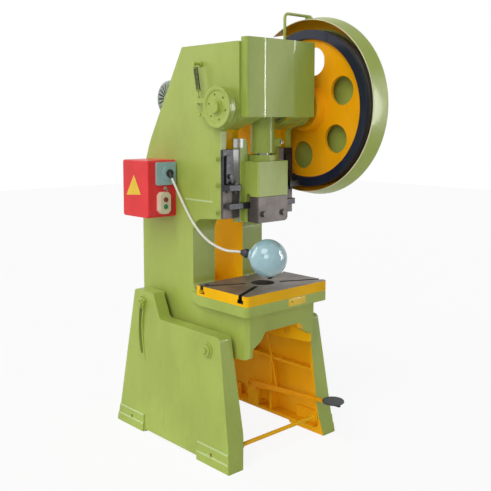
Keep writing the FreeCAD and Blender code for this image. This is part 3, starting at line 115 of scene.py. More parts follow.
world = bpy.data.worlds.new("surroundings")
world.use_nodes = True
scene.world = world
tree = world.node_tree
lit = wire(tree, "ShaderNodeBackground", Color=(0.95, 0.98, 1.0, 1), Strength=WORLD_LIGHT)
white = wire(tree, "ShaderNodeBackground", Color=(1, 1, 1, 1), Strength=1.0)
both = wire(tree, "ShaderNodeMixShader", Fac=seen_directly(tree))
tree.links.new(lit.outputs[0], both.inputs[1])
tree.links.new(white.outputs[0], both.inputs[2])
tree.links.new(both.outputs[0], tree.nodes["World Output"].inputs["Surface"])


def lamp(name, kind, place, toward, **values):
    """A lamp of this kind at a place, turned toward a spot, with its settings by name."""
    data = bpy.data.lights.new(name, kind)
    for key, value in values.items():
        setattr(data, key, value)
    body = bpy.data.objects.new(name, data)
    body.location = place
    body.rotation_mode = "QUATERNION"
    body.rotation_quaternion = (Vector(toward) - Vector(place)).to_track_quat("-Z", "Y")
    scene.collection.objects.link(body)
    return body


HOOD_MIDDLE = (0.0, -0.44, 1.84)
STRIP_AWAY = 3.2
STRIP_HEIGHT = 1.9
STRIP_WIDTH = 0.16
STRIP_TALL = 2.6
lamp("sky_left", "SUN", (-2.50, -0.45, 3.0), (0, 0, 0), energy=1.15, angle=math.radians(36))
lamp("window_low", "SUN", (-2.10, -1.40, 0.85), (0, 0, 0), energy=0.85, angle=math.radians(28))
lamp("bright_wall", "SUN", (-0.90, 2.20, 0.80), (0, 0, 0), energy=1.10, angle=math.radians(40))
for name, bearing, power in (("strip_left", -51.8, 72.0), ("strip_right", -39.7, 28.0)):
    way = math.radians(bearing)
    spot = (HOOD_MIDDLE[0] + STRIP_AWAY * math.cos(way), HOOD_MIDDLE[1] + STRIP_AWAY * math.sin(way),
            STRIP_HEIGHT)
    strip = lamp(name, "AREA", spot, HOOD_MIDDLE, energy=power, shape="RECTANGLE",
                 size=STRIP_WIDTH, size_y=STRIP_TALL)
    strip.visible_diffuse = False


# ---------------------------------------------------------------- cast legs of the stand
# Two ribbed iron legs, light green enamel outside and orange inside their pockets, sprayed over cast skin.
# Their tilting slots, foot steps and pivot bosses are cast on; sharp edges are rubbed round before painting.
def blotches(tree, colours, scale, detail=5.0, stretch=(1, 1, 1), ends=(0.3, 0.7)):
    """Colours from dark to pale spread over the surface by a noise; gives the noise and the colour."""
    place = wire(tree, "ShaderNodeTexCoord").outputs["Object"]
    place = wire(tree, "ShaderNodeMapping", Vector=place, Scale=stretch).outputs[0]
    noise = wire(tree, "ShaderNodeTexNoise", Vector=place, Scale=scale, Detail=detail, Roughness=0.6)
    ramp = wire(tree, "ShaderNodeValToRGB", Fac=noise.outputs["Fac"])
    stops = ramp.color_ramp.elements
    stops[0].position, stops[1].position = ends
    stops[0].color = (*colours[0], 1)
    stops[1].color = (*colours[-1], 1)
    for i, colour in enumerate(colours[1:-1], 1):
        middle = stops.new(ends[0] + (ends[1] - ends[0]) * i / (len(colours) - 1))
        middle.color = (*colour, 1)
    return noise.outputs["Fac"], ramp.outputs["Color"]


def ridges(tree, heights):
    """Bumps of several noises laid over each other: (noise, depth in metres)."""
    normal = None
    for source, depth in heights:
        bump = wire(tree, "ShaderNodeBump", Strength=1.0, Distance=depth, Height=source)
        if normal:
            tree.links.new(normal, bump.inputs["Normal"])
        normal = bump.outputs[0]
    return normal


def enamel(name, colour, gloss=0.34, coat=0.10, sheen=0.22, polish=0.08):
    """Sprayed machine enamel: patchy film thickness, wipe marks running down, orange peel over cast skin."""
    paint = bpy.data.materials.new(name)
    paint.use_nodes = True
    tree = paint.node_tree
    shader = tree.nodes["Principled BSDF"]
    deep = tuple(c * 0.86 for c in colour)
    pale = tuple(min(1.0, c * 1.06 + 0.012) for c in colour)
    patch, tone = blotches(tree, (deep, colour, pale), scale=3.2, detail=6.0, stretch=(1, 1, 0.55))
    grime = tuple(c * 0.62 for c in colour)
    runs, dull = blotches(tree, (grime, (1, 1, 1)), scale=26.0, detail=8.0, stretch=(1, 1, 0.22),
                          ends=(0.26, 0.40))
    mixed = wire(tree, "ShaderNodeMixRGB", {"blend_type": "MULTIPLY"}, Fac=0.14, Color1=tone, Color2=dull)
    tree.links.new(mixed.outputs[0], shader.inputs["Base Color"])
    rough = wire(tree, "ShaderNodeMapRange", Value=runs, To_Min=gloss + 0.12, To_Max=gloss - 0.04)
    tree.links.new(rough.outputs[0], shader.inputs["Roughness"])
    peel, _ = blotches(tree, ((0, 0, 0), (1, 1, 1)), scale=420.0, detail=2.0)
    skin, _ = blotches(tree, ((0, 0, 0), (1, 1, 1)), scale=38.0, detail=4.0)
    tree.links.new(ridges(tree, ((skin, 0.0009), (peel, 0.00006))), shader.inputs["Normal"])
    shader.inputs["Specular IOR Level"].default_value = sheen
    shader.inputs["Coat Weight"].default_value = coat
    shader.inputs["Coat Roughness"].default_value = polish
    return paint


green = enamel("green_enamel", (0.365, 0.452, 0.084))
# The inside orange is lighter and yellower than the orange outside: painted light for the shaded pockets and
# hollows it covers.
brightened_inside_orange = enamel("brightened_inside_orange", (0.880, 0.450, 0.004), sheen=0.06, coat=0.02)
# A pale green painted on the foot steps and the cast line as the highlight their edges catch.
painted_highlight_green = enamel("painted_highlight_green", (0.520, 0.640, 0.280))


def piece_of(mesh, name, finishes, body, slot, *nodes):
    """A finished mesh put into the scene in place of its CAD nodes, riding on its body."""
    for finish in finishes:
        mesh.materials.append(finish)
    piece = bpy.data.objects.new(name, mesh)
    scene.collection.objects.link(piece)
    if nodes:
        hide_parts(*nodes)
    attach(piece, body)
    return piece


def softened(piece, edge, crease=32):
    """Edges rubbed round by a bevel, flat faces kept flat in the shading."""
    if edge:
        rounding = piece.modifiers.new("rounding", "BEVEL")
        rounding.width = edge
        rounding.segments = 2
        rounding.limit_method = "ANGLE"
        rounding.angle_limit = math.radians(crease)
        rounding.use_clamp_overlap = True
    flat = piece.modifiers.new("flat_faces", "WEIGHTED_NORMAL")
    flat.keep_sharp = True
    flat.weight = 60


MERGE_WITHIN = 0.00002
FLAT_WITHIN = math.radians(0.5)


def fettled(node, body, slot, edge, finishes, pick=None, crease=32, cuts=()):
    """A CAD piece copied, its triangles merged, its flat faces joined and its sharp edges rubbed round.

    pick gives each face its finish from its middle (mm) and its normal; cuts are planes (mm) that part
    the faces of a region first, so that a finish can end inside a flat face."""
    form = bmesh.new()
    form.from_mesh(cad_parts[node].data)
    bmesh.ops.remove_doubles(form, verts=form.verts, dist=MERGE_WITHIN)
    for region, point, across in cuts:
        faces = [f for f in form.faces if region(f.calc_center_median() * 1000, f.normal)]
        edges = list({e for f in faces for e in f.edges})
        verts = list({v for f in faces for v in f.verts})
        bmesh.ops.bisect_plane(form, geom=verts + edges + faces, plane_co=Vector(point) / 1000,
                               plane_no=across)
    for face in form.faces:
        face.smooth = True
        face.material_index = pick(face.calc_center_median() * 1000, face.normal) if pick else 0
    bmesh.ops.dissolve_limit(form, angle_limit=FLAT_WITHIN, verts=form.verts, edges=form.edges,
                             delimit={"MATERIAL"})
    mesh = bpy.data.meshes.new(node + "_finished")
    form.to_mesh(mesh)
    form.free()
    mesh.set_sharp_from_angle(angle=math.radians(crease))
    piece = piece_of(mesh, node + "_finished", finishes, body, slot, node)
    softened(piece, edge, crease)
    return piece


# Millimetres: the outside face leans in with height, the steps start STEP_IN from the middle, and the
# pocket's front and back edges draw in by these shares of the height above its foot.
LEG_OUT = 367
LEG_LEAN = 25 / 624
STEP_IN = 224
# Heights of the pale green bands painted on the steps as highlight, and the planes that cut them out.
STEP_CUTS = (39, 84)
STEP_HIGHLIGHT_LINES = ((37, 48), (82, 94))
FOOT_BOLT_Y, FOOT_BOLT_Z, FOOT_BOLT_R = 330, 53, 9.5
TILT_Y, TILT_Z, TILT_SLOT_R = -275, 548, 542.4
POCKET_FRONT, POCKET_BACK, POCKET_FOOT, POCKET_TOP = -440, 435, 32, 604
POCKET_FRONT_LEAN, POCKET_BACK_LEAN = 0.161, 0.175


def leg_side(spot, normal):
    """1 on the orange faces that look into the stand, 0 on the green ones outside, 2 on the painted highlight
    along the steps.
    """
    skin = LEG_OUT - LEG_LEAN * spot.z
    if normal.z > 0.2 and 14 < spot.z < 60 and abs(spot.x) < skin - 8:
        return 1
    on_step = abs(spot.x) > skin - 1 and abs(spot.y) > STEP_IN
    on_highlight_line = any(low < spot.z < high for low, high in STEP_HIGHLIGHT_LINES)
    if on_step and on_highlight_line and (normal.z > 0.7 or abs(normal.x) > 0.9):
        return 2
    if math.hypot(abs(spot.y) - FOOT_BOLT_Y, spot.z - FOOT_BOLT_Z) < FOOT_BOLT_R and abs(normal.x) < 0.5:
        return 0
    if abs(spot.x) > skin - 4:
        return 0
    from_slot = abs(math.hypot(spot.y - TILT_Y, spot.z - TILT_Z) - TILT_SLOT_R)
    if from_slot < 13 and abs(normal.x) < 0.5:
        return 0
    front = POCKET_FRONT + POCKET_FRONT_LEAN * (spot.z - POCKET_FOOT)
    back = POCKET_BACK - POCKET_BACK_LEAN * (spot.z - POCKET_FOOT)
    in_pocket = POCKET_FOOT - 1 < spot.z < POCKET_TOP + 1 and front - 1 < spot.y < back + 1
    looks_in = normal.x * spot.x < 0 and abs(normal.x) > 0.3 and spot.z < 600
    return 1 if in_pocket or looks_in else 0


def step_face(spot, normal):
    """The outside of a foot, where a painted highlight line runs along each of its two steps."""
    return abs(normal.x) > 0.9 and spot.z < 95 and abs(spot.y) > STEP_IN and abs(spot.x) > 340


for node in ("leg_left", "leg_right"):
    fettled(node, "stand", "green_paint", 0.0025, (green, brightened_inside_orange, painted_highlight_green), leg_side,
            cuts=[(step_face, (0, 0, z), (0, 0, 1)) for z in STEP_CUTS])


# ---------------------------------------------------------------- tie rods and pivot pins of the stand
# Two round bars tie the legs together; they and the hexagon nuts inside the legs are brushed yellow.
# The pivot pins carry the frame; they were sprayed green outside and orange inside.
yellow = enamel("yellow_enamel", (0.940, 0.500, 0.004), sheen=0.05, coat=0.02)


def dark_steel(name, colour, rough=0.42, worn=0.5):
    """Blackened steel: oil-dark film, paler where hands and spanners have rubbed it."""
    steel = bpy.data.materials.new(name)
    steel.use_nodes = True
    tree = steel.node_tree
    shader = tree.nodes["Principled BSDF"]
    rubbed = tuple(min(1, c * 2.4 + 0.03) for c in colour)
    oiled = tuple(c * 1.25 for c in colour)
    patch, tone = blotches(tree, (colour, oiled, rubbed), scale=55.0, detail=8.0, ends=(0.34, 0.86))
    tree.links.new(tone, shader.inputs["Base Color"])
    film = wire(tree, "ShaderNodeMapRange", Value=patch, To_Min=rough + 0.12, To_Max=rough - 0.12)
    tree.links.new(film.outputs[0], shader.inputs["Roughness"])
    fine, _ = blotches(tree, ((0, 0, 0), (1, 1, 1)), scale=900.0, detail=2.0)
    tree.links.new(ridges(tree, ((patch, 0.0003), (fine, 0.00003))), shader.inputs["Normal"])
    shader.inputs["Metallic"].default_value = worn
    return steel


black_steel = dark_steel("black_steel", (0.020, 0.020, 0.023))
fettled("tie_rods", "stand", "orange_paint", 0, (yellow,))
fettled("pivot_pins", "stand", "green_paint", 0.0012, (green, brightened_inside_orange),
        lambda spot, normal: abs(spot.x) < 300)

# ---------------------------------------------------------------- pedal, its bracket and the pull rod
# A flat forged lever on a pin in the right leg's bracket, orange with a bare dark end, and a round rubber
# tread. A thin rod with an eye at each end carries its pull up to the trip lever on the frame.
orange = enamel("orange_enamel", (0.900, 0.390, 0.003), sheen=0.08, coat=0.04)
fettled("pedal_bracket", "stand", "orange_paint", 0.0012, (brightened_inside_orange,))
BARE_END_Y = -515
fettled("pedal_lever", "pedal", "orange_paint", 0.0010, (orange, black_steel),
        lambda spot, normal: spot.y < BARE_END_Y,
        cuts=((lambda spot, normal: spot.y < -300, (0, BARE_END_Y, 0), (0, 1, 0)),))
fettled("pull_rod", "pull_link", "orange_paint", 0, (yellow,))


def moulded(name, colour, rough=0.4, stipple=700.0, depth=0.00004, coat=0.0):
    """Moulded rubber or plastic: even colour with a little dust in it and a fine moulded skin."""
    plastic = bpy.data.materials.new(name)
    plastic.use_nodes = True
    tree = plastic.node_tree
    shader = tree.nodes["Principled BSDF"]
    dust = tuple(c * 0.9 + 0.018 for c in colour)
    worn = tuple(c * 0.9 for c in colour)
    patch, tone = blotches(tree, (worn, colour, dust), scale=30.0, detail=6.0)
    tree.links.new(tone, shader.inputs["Base Color"])
    film = wire(tree, "ShaderNodeMapRange", Value=patch, To_Min=rough - 0.05, To_Max=rough + 0.1)
    tree.links.new(film.outputs[0], shader.inputs["Roughness"])
    fine, _ = blotches(tree, ((0, 0, 0), (1, 1, 1)), stipple, 2.0)
    tree.links.new(ridges(tree, ((fine, depth),)), shader.inputs["Normal"])
    shader.inputs["Coat Weight"].default_value = coat
    return plastic


black_rubber = moulded("black_rubber", (0.036, 0.044, 0.040), 0.62, 1500.0, 0.00012)
fettled("pedal_pad", "pedal", "black_rubber", 0.0010, (black_rubber,))

# ---------------------------------------------------------------- frame casting
# One iron casting: two side walls, crank head, throat and bed. Sprayed light green outside;
# the gap between the walls and the hollow under the bed are brushed orange.
WALL_IN = 205
GAP_IN = 97
BED_UNDER = 745
SLIDE_LOW = 1160


def frame_side(spot, normal):
    """1 on the orange faces between the walls and under the bed, painted brighter as light for their shade; 0
    on the green ones.
    """
    inside_walls = abs(spot.x) <= WALL_IN
    if inside_walls and normal.y < -0.5 and -230 < spot.y < -200 and spot.z > SLIDE_LOW:
        return 1
    looks_in = abs(normal.x) > 0.5 and normal.x * spot.x < 0
    if spot.z < BED_UNDER:
        front = normal.y < -0.5 and spot.y < -440
        back = normal.y > 0.5 and spot.y > 380
        foot = normal.z < -0.5 and spot.z < 600 and abs(spot.y) > 400
        return 1 if inside_walls and not (front or back or foot) else 0
    if inside_walls and looks_in:
        return 1
    between = abs(spot.x) < GAP_IN and normal.z < -0.5
    behind = inside_walls and normal.y > 0.5 and spot.y < 300
    return 1 if between or behind else 0


# This orange is lighter than the others: painted light standing in for the fill that the shaded throat and
# hollow lack.
brightened_throat_orange = enamel("brightened_throat_orange", (1.0, 0.560, 0.003), sheen=0.06, coat=0.02)
fettled("frame_casting", "frame", "green_paint", 0.003, (green, brightened_throat_orange), frame_side)

bare_yellow = enamel("plate_yellow", (0.860, 0.560, 0.020), gloss=0.3, coat=0.2)


def meshed(form, name, crease=32):
    """A bmesh turned into a smooth-shaded mesh with its normals outward and its creases kept sharp."""
    bmesh.ops.recalc_face_normals(form, faces=form.faces)
    for face in form.faces:
        face.smooth = True
    mesh = bpy.data.meshes.new(name)
    form.to_mesh(mesh)
    form.free()
    mesh.set_sharp_from_angle(angle=math.radians(crease))
    return mesh


def plate_on(name, middle, size, round_edge, finish, slot):
    """A rectangular plate or rib with rubbed edges, its middle and size in millimetres."""
    form = bmesh.new()
    bmesh.ops.create_cube(form, size=0.001)
    bmesh.ops.scale(form, verts=form.verts, vec=size)
    bmesh.ops.translate(form, verts=form.verts, vec=Vector(middle) / 1000)
    bmesh.ops.bevel(form, geom=form.edges[:], offset=round_edge / 1000, segments=2, affect="EDGES",
                    profile=0.5)
    return piece_of(meshed(form, name, 60), name, (finish,), "frame", slot)


# A bare yellow plate 121 x 38 mm is riveted to the front of the bed; a cast line runs over the left wall,
# painted pale green as a highlight.
plate_on("bare_plate", (57.5, -485.3, 759), (121, 1.4, 38), 0.5, bare_yellow, "orange_paint")
plate_on("plate_rivet", (22, -486.2, 761), (7, 1.2, 7), 0.5, black_steel, "dark_steel")
plate_on("cast_line", (-240.2, -90, 1245), (2.6, 214, 9), 1.1, painted_highlight_green, "green_paint")

# ---------------------------------------------------------------- bolster plate
# Planed iron plate with four T slots to its corners and a round drop hole; its edges are painted
# orange-yellow, its top is bare, browned by oil and crossed by the marks of the dies.
def machined(name, colour, dark, rough=0.38, grain=(1, 1, 1), scale=60.0, metal=0.85, groove=0.00005):
    """Cut iron or steel: tool marks drawn out along the cut, brown oil film in patches."""
    iron = bpy.data.materials.new(name)
    iron.use_nodes = True
    tree = iron.node_tree
    shader = tree.nodes["Principled BSDF"]
    marks, lined = blotches(tree, (tuple(c * 0.82 for c in colour), colour), scale, 4.0, grain)
    stain, brown = blotches(tree, (dark, (1, 1, 1)), 7.0, 7.0, ends=(0.36, 0.58))
    mixed = wire(tree, "ShaderNodeMixRGB", {"blend_type": "MULTIPLY"}, Fac=0.8, Color1=lined, Color2=brown)
    tree.links.new(mixed.outputs[0], shader.inputs["Base Color"])
    film = wire(tree, "ShaderNodeMapRange", Value=stain, To_Min=rough + 0.18, To_Max=rough - 0.05)
    tree.links.new(film.outputs[0], shader.inputs["Roughness"])
    tree.links.new(ridges(tree, ((marks, groove), (stain, 0.0002))), shader.inputs["Normal"])
    shader.inputs["Metallic"].default_value = metal
    return iron


planed_iron = machined("planed_iron", (0.215, 0.180, 0.150), (0.42, 0.36, 0.30), rough=0.40,
                       grain=(0.6, 14, 1), scale=40.0, metal=0.45)
# The slots, the hole and the underside are painted near black: painted shade in the recesses and under the
# plate.
shaded_slot_iron = dark_steel("shaded_slot_iron", (0.030, 0.026, 0.022), 0.55, 0.3)


BOLSTER_TOP = 830
BOLSTER_Y = -300


def plate_side(spot, normal):
    """1 on the planed top, 0 on the painted edges, 2 on near-black iron in the slots, the hole and
    underneath, a painted shade.
    """
    if spot.z > BOLSTER_TOP - 0.5 and normal.z > 0.5:
        return 1
    at_edge = abs(spot.x) > 256 or abs(spot.y - BOLSTER_Y) > 171
    return 0 if at_edge and abs(normal.z) < 0.5 else 2


fettled("bolster", "frame", "cast_iron", 0.0015, (yellow, planed_iron, shaded_slot_iron), plate_side)


# ---------------------------------------------------------------- screws of the frame
# Steel screws and studs. The hexagon gib screws and lock bolts were sprayed over with the frame; the
# round-headed bolster screws and the linkage studs are bare and dark.
GIB_SCREW_Y = -241


def painted_or_bare(spot, normal):
    """0 on the painted gib screws, 1 on the bare ones."""
    return 0 if abs(spot.y - GIB_SCREW_Y) < 20 and spot.z > 1000 else 1


fettled("frame_screws", "frame", "dark_steel", 0.0006, (green, black_steel), painted_or_bare)
fettled("lock_bolts", "frame", "green_paint", 0.0012, (green,))

# ---------------------------------------------------------------- crank, its bearings and what turns with it
# Forged steel crankshaft in bronze bushes. Its left end and the brake drum keyed to it are painted green;
# the clutch dog and the end plate on its right stay bare.
CRANK_Y, CRANK_Z = -300, 1700
SHAFT_PAINT_X = -258
bright_steel = machined("bright_steel", (0.52, 0.53, 0.54), (0.55, 0.50, 0.44), 0.28, (40, 1, 1), 30.0, 1.0)
bronze = machined("bronze", (0.50, 0.32, 0.13), (0.6, 0.5, 0.4), 0.35, (30, 1, 1), 30.0, 1.0)
fettled("bearing_housings", "frame", "green_paint", 0.0015, (green,))
fettled("crank_bushes", "frame", "bronze", 0, (bronze,))
fettled("crankshaft", "crank", "machined_steel", 0.0010, (bright_steel, green),
        lambda spot, normal: spot.x < SHAFT_PAINT_X)
fettled("brake_drum", "crank", "green_paint", 0.0008, (green,))
fettled("clutch_dog", "crank", "dark_steel", 0.0008, (black_steel,))
fettled("end_plate", "crank", "machined_steel", 0.0010, (bright_steel,))

# ---------------------------------------------------------------- flywheel
# Cast wheel on a bronze bush, turned all over: blue-black rim with three bare belt grooves,
# orange web with six round holes.
RIM_IN_R = 351
GROOVE_LOW_R, GROOVE_HIGH_R = 386, 401
GROOVES_X0, GROOVES_X1 = 312, 372
rim_black = enamel("rim_black", (0.010, 0.014, 0.034), gloss=0.28, coat=0.3)
groove_iron = machined("groove_iron", (0.20, 0.19, 0.18), (0.5, 0.45, 0.4), 0.35, (60, 1, 1), 30.0, 0.9)


def wheel_zone(spot, normal):
    """0 on the orange web, 1 on the black rim, 2 in the belt grooves."""
    out = math.hypot(spot.y - CRANK_Y, spot.z - CRANK_Z)
    if out < RIM_IN_R:
        return 0
    in_groove = GROOVE_LOW_R < out < GROOVE_HIGH_R and GROOVES_X0 < spot.x < GROOVES_X1
    return 2 if in_groove and abs(normal.x) < 0.99 else 1


fettled("flywheel", "flywheel", "orange_paint", 0.0012, (orange, rim_black, groove_iron), wheel_zone)
fettled("flywheel_bush", "flywheel", "bronze", 0, (bronze,))

# ---------------------------------------------------------------- connecting rod
# Split forged rod on the crank pin, green, its cap held by bright bolts; below, a ball-ended screw
# clamped in it sets the slide's height.
hood_green = enamel("hood_enamel", (0.345, 0.445, 0.078), gloss=0.32, coat=0.24, sheen=0.12, polish=0.07)
fettled("connecting_rod", "conrod", "green_paint", 0.0020, (hood_green,))
fettled("rod_cap", "conrod", "green_paint", 0.0020, (green,))
fettled("rod_bolts", "conrod", "machined_steel", 0.0006, (bright_steel,))
fettled("ball_screw", "conrod", "machined_steel", 0, (bright_steel,))

# ---------------------------------------------------------------- slide, gibs and knock-out
# Planed iron slide, painted in front, with two ears up the gibs; a bare clamp block holds the die shank.
# The gibs are bare steel too; the knock-out bar and its stops are black.
EAR_BARE_X, EAR_BARE_Z = -115, 1508
GIB_SIDE_X, GIB_DARK_Z = 172, 1300
clamp_iron = machined("clamp_iron", (0.125, 0.105, 0.095), (0.45, 0.40, 0.36), 0.45, (3, 3, 20), 30.0, 0.35)
way_steel = machined("way_steel", (0.340, 0.335, 0.330), (0.5, 0.46, 0.42), 0.42, (1, 1, 0.15), 120.0, 0.3)


def slide_side(spot, normal):
    """0 on the painted front, 1 on the ways, 2 on the pale top of the left ear."""
    if spot.z > EAR_BARE_Z and spot.x < EAR_BARE_X:
        return 2
    return 1 if abs(spot.x) > 106 and spot.y > -281 and abs(normal.z) < 0.5 and normal.y > -0.5 else 0


def left_ear(spot, normal):
    """The upright faces of the slide's left side, which the two cuts part."""
    return spot.z > 1300 and spot.x < -70 and abs(normal.z) < 0.5


pale_steel = machined("pale_steel", (0.62, 0.63, 0.62), (0.75, 0.73, 0.70), 0.40, (3, 1, 1), 60.0, 0.3)
fettled("ram", "slide", "green_paint", 0.0015, (green, way_steel, pale_steel), slide_side,
        cuts=((left_ear, (EAR_BARE_X, 0, 0), (1, 0, 0)), (left_ear, (0, 0, EAR_BARE_Z), (0, 0, 1))))
fettled("shank_clamp", "slide", "cast_iron", 0.0015, (clamp_iron,))
fettled("clamp_nuts", "slide", "dark_steel", 0.0006, (clamp_iron,))
fettled("ball_cap", "slide", "green_paint", 0.0015, (green,))
fettled("knockout_bar", "knockout", "dark_steel", 0.0004, (black_steel,))


def gib_side(spot, normal):
    """0 on the bright way, 1 on the blackened side, 2 on the dark lower end."""
    if spot.z < GIB_DARK_Z:
        return 2
    return 1 if abs(spot.x) > GIB_SIDE_X and spot.z > GIB_DARK_Z else 0


def gib_front(spot, normal):
    return normal.y < -0.5


fettled("gibs", "frame", "cast_iron", 0.0008, (way_steel, black_steel, clamp_iron), gib_side,
        cuts=[(gib_front, (-GIB_SIDE_X, 0, 0), (1, 0, 0)), (gib_front, (GIB_SIDE_X, 0, 0), (1, 0, 0)),
              (gib_front, (0, 0, GIB_DARK_Z), (0, 0, 1))])
fettled("knockout_stops", "frame", "dark_steel", 0.0008, (black_steel,))

# ---------------------------------------------------------------- front hood
# Three millimetre sheet, 460 x 51 x 365 mm, folded round the crank head: three flat panels in front with
# two soft folds between them, a flat top, and flanges turned in behind. Green enamel.
def rounded(corners, steps=6):
    """Corners (a, b, radius) of an open line, each turned into an arc of short runs."""
    line = [Vector(corners[0][:2])]
    for before, here, after in zip(corners, corners[1:], corners[2:]):
        corner = Vector(here[:2])
        back = (Vector(before[:2]) - corner).normalized()
        on = (Vector(after[:2]) - corner).normalized()
        if here[2] <= 0:
            line.append(corner)
            continue
        half = back.angle(on) / 2
        reach = here[2] / math.tan(half)
        centre = corner + (back + on).normalized() * here[2] / math.sin(half)
        start = corner + back * reach - centre
        turn = start.angle_signed(corner + on * reach - centre)
        for i in range(steps + 1):
            angle = -turn * i / steps
            line.append(centre + Vector((start.x * math.cos(angle) - start.y * math.sin(angle),
                                         start.x * math.sin(angle) + start.y * math.cos(angle))))
    line.append(Vector(corners[-1][:2]))
    return line


def sheet_round(line, low, high, thick):
    """Sheet metal standing on a line in plan, from low to high, its thickness laid inwards (to the left)."""
    sides = []
    for i, spot in enumerate(line):
        before = (spot - line[i - 1]).normalized() if i else (line[1] - spot).normalized()
        after = (line[i + 1] - spot).normalized() if i + 1 < len(line) else before
        way = (before + after).normalized()
        sides.append(Vector((-way.y, way.x)) * thick / max(0.5, before.dot(way)))
    form = bmesh.new()
    rows = []
    for offset in (0, 1):
        for z in (low, high):
            rows.append([form.verts.new((*((spot + side * offset) / 1000), z / 1000))
                         for spot, side in zip(line, sides)])
    outer_low, outer_high, inner_low, inner_high = rows
    for i in range(len(line) - 1):
        form.faces.new((outer_low[i], outer_low[i + 1], outer_high[i + 1], outer_high[i]))
        form.faces.new((inner_low[i + 1], inner_low[i], inner_high[i], inner_high[i + 1]))
        form.faces.new((outer_low[i + 1], outer_low[i], inner_low[i], inner_low[i + 1]))
        form.faces.new((outer_high[i], outer_high[i + 1], inner_high[i + 1], inner_high[i]))
    for i, flip in ((0, 1), (-1, 0)):
        end = (outer_low[i], outer_high[i], inner_high[i], inner_low[i])
        form.faces.new(end if flip else end[::-1])
    return form


HOOD_LOW, HOOD_HIGH = 1655.0, 2020.0
hood_line = rounded([(-206, -391, 0), (-230, -391, 2.9), (-230, -434, 9), (-123, -442, 300), (74, -442, 500),
                     (230, -434, 9), (230, -391, 2.9), (206, -391, 0)], 10)
form = sheet_round(hood_line, HOOD_LOW, HOOD_HIGH - 3, 3)
lid_line = [spot for spot in hood_line if abs(spot.x) > 226 or spot.y < -400]
low_rim = [form.verts.new((*(spot / 1000), (HOOD_HIGH - 3) / 1000)) for spot in lid_line]
high_rim = [form.verts.new((*(spot / 1000), HOOD_HIGH / 1000)) for spot in lid_line]
form.faces.new(high_rim)
form.faces.new(low_rim[::-1])
for i in range(len(lid_line)):
    j = (i + 1) % len(lid_line)
    form.faces.new((low_rim[i], low_rim[j], high_rim[j], high_rim[i]))
hood = piece_of(meshed(form, "front_hood", 20), "front_hood", (hood_green,), "frame", "green_paint", "hood")
softened(hood, 0)

# ---------------------------------------------------------------- band brake
# A steel band with a woven lining is drawn round the drum by a tension spring on an eye bolt. Band and
# posts were sprayed over with the frame; the spring is dark wire.
COIL_TURNS = 17.0
lining = moulded("woven_lining", (0.110, 0.075, 0.045), 0.8, 500.0, 0.0002)
fettled("brake_band", "frame", "green_paint", 0.0006, (green,))
fettled("brake_lining", "frame", "lining", 0, (lining,))
fettled("brake_posts", "frame", "green_paint", 0.0006, (green,))
olive_steel = dark_steel("olive_steel", (0.052, 0.060, 0.030), 0.45, 0.4)


def node_group(name, labels):
    """A geometry node group with named inputs (label, socket kind, value)."""
    group = bpy.data.node_groups.new(name, "GeometryNodeTree")
    sockets = group.interface
    sockets.new_socket("Geometry", in_out="INPUT", socket_type="NodeSocketGeometry")
    sockets.new_socket("Geometry", in_out="OUTPUT", socket_type="NodeSocketGeometry")
    for label, kind, value in labels:
        socket = sockets.new_socket(label, in_out="INPUT", socket_type="NodeSocket" + kind)
        if value is not None:
            socket.default_value = value
    return group, group.nodes.new("NodeGroupInput").outputs, group.nodes.new("NodeGroupOutput").inputs


def grown(base, group, **values):
    """The group run once on a base mesh or curve with these inputs (spaces written as _), as a plain mesh."""
    seed = bpy.data.objects.new(group.name + "_seed", base)
    scene.collection.objects.link(seed)
    maker = seed.modifiers.new("maker", "NODES")
    maker.node_group = group
    for label, value in values.items():
        for item in group.interface.items_tree:
            if item.name == label.replace("_", " ") and item.in_out == "INPUT":
                maker[item.identifier] = value
    graph = bpy.context.evaluated_depsgraph_get()
    mesh = bpy.data.meshes.new_from_object(seed.evaluated_get(graph), depsgraph=graph)
    bpy.data.objects.remove(seed)
    return mesh


def closed_off(group, geometry, finish, out):
    """The end of every group: instances realized, material set."""
    real = wire(group, "GeometryNodeRealizeInstances", Geometry=geometry)
    dressed = wire(group, "GeometryNodeSetMaterial", Geometry=real.outputs[0], Material=finish)
    group.links.new(dressed.outputs[0], out["Geometry"])


coil, given, out = node_group("wire_coil", (("Turns", "Float", 12.0), ("Coil Radius", "Float", 0.01),
                                            ("Length", "Float", 0.1), ("Wire Radius", "Float", 0.002),
                                            ("Finish", "Material", None)))
spiral = wire(coil, "GeometryNodeCurveSpiral", Resolution=28, Rotations=given["Turns"],
              Start_Radius=given["Coil Radius"], End_Radius=given["Coil Radius"], Height=given["Length"])
round_wire = wire(coil, "GeometryNodeCurvePrimitiveCircle", {"mode": "RADIUS"}, Resolution=12,
                  Radius=given["Wire Radius"])
drawn = wire(coil, "GeometryNodeCurveToMesh", Curve=spiral.outputs[0], Profile_Curve=round_wire.outputs[0],
             Fill_Caps=True)
closed_off(coil, drawn.outputs[0], given["Finish"], out)
COIL_LOW = Vector((-278, -140, 1786)) / 1000
COIL_HIGH = Vector((-278, -120, 1888)) / 1000
spring_mesh = grown(bpy.data.meshes.new("nothing"), coil, Turns=COIL_TURNS, Coil_Radius=0.0100,
                    Wire_Radius=0.0019, Length=(COIL_HIGH - COIL_LOW).length, Finish=olive_steel)
place = (COIL_HIGH - COIL_LOW).to_track_quat("Z", "Y").to_matrix().to_4x4()
place.translation = COIL_LOW
spring_mesh.transform(place)
for face in spring_mesh.polygons:
    face.use_smooth = True
piece_of(spring_mesh, "tension_spring", (), "frame", "dark_steel", "brake_spring")

# ---------------------------------------------------------------- clutch linkage on the right wall
# Flat levers and a thin rod of blackened steel carry the pedal's pull up to the latch that trips the dog.
# They turn on shoulder studs in the frame.
for node, body in (("trip_lever", "trip"), ("clutch_rod", "clutch_link"), ("clutch_latch", "latch")):
    fettled(node, body, "dark_steel", 0.0006, (black_steel,))


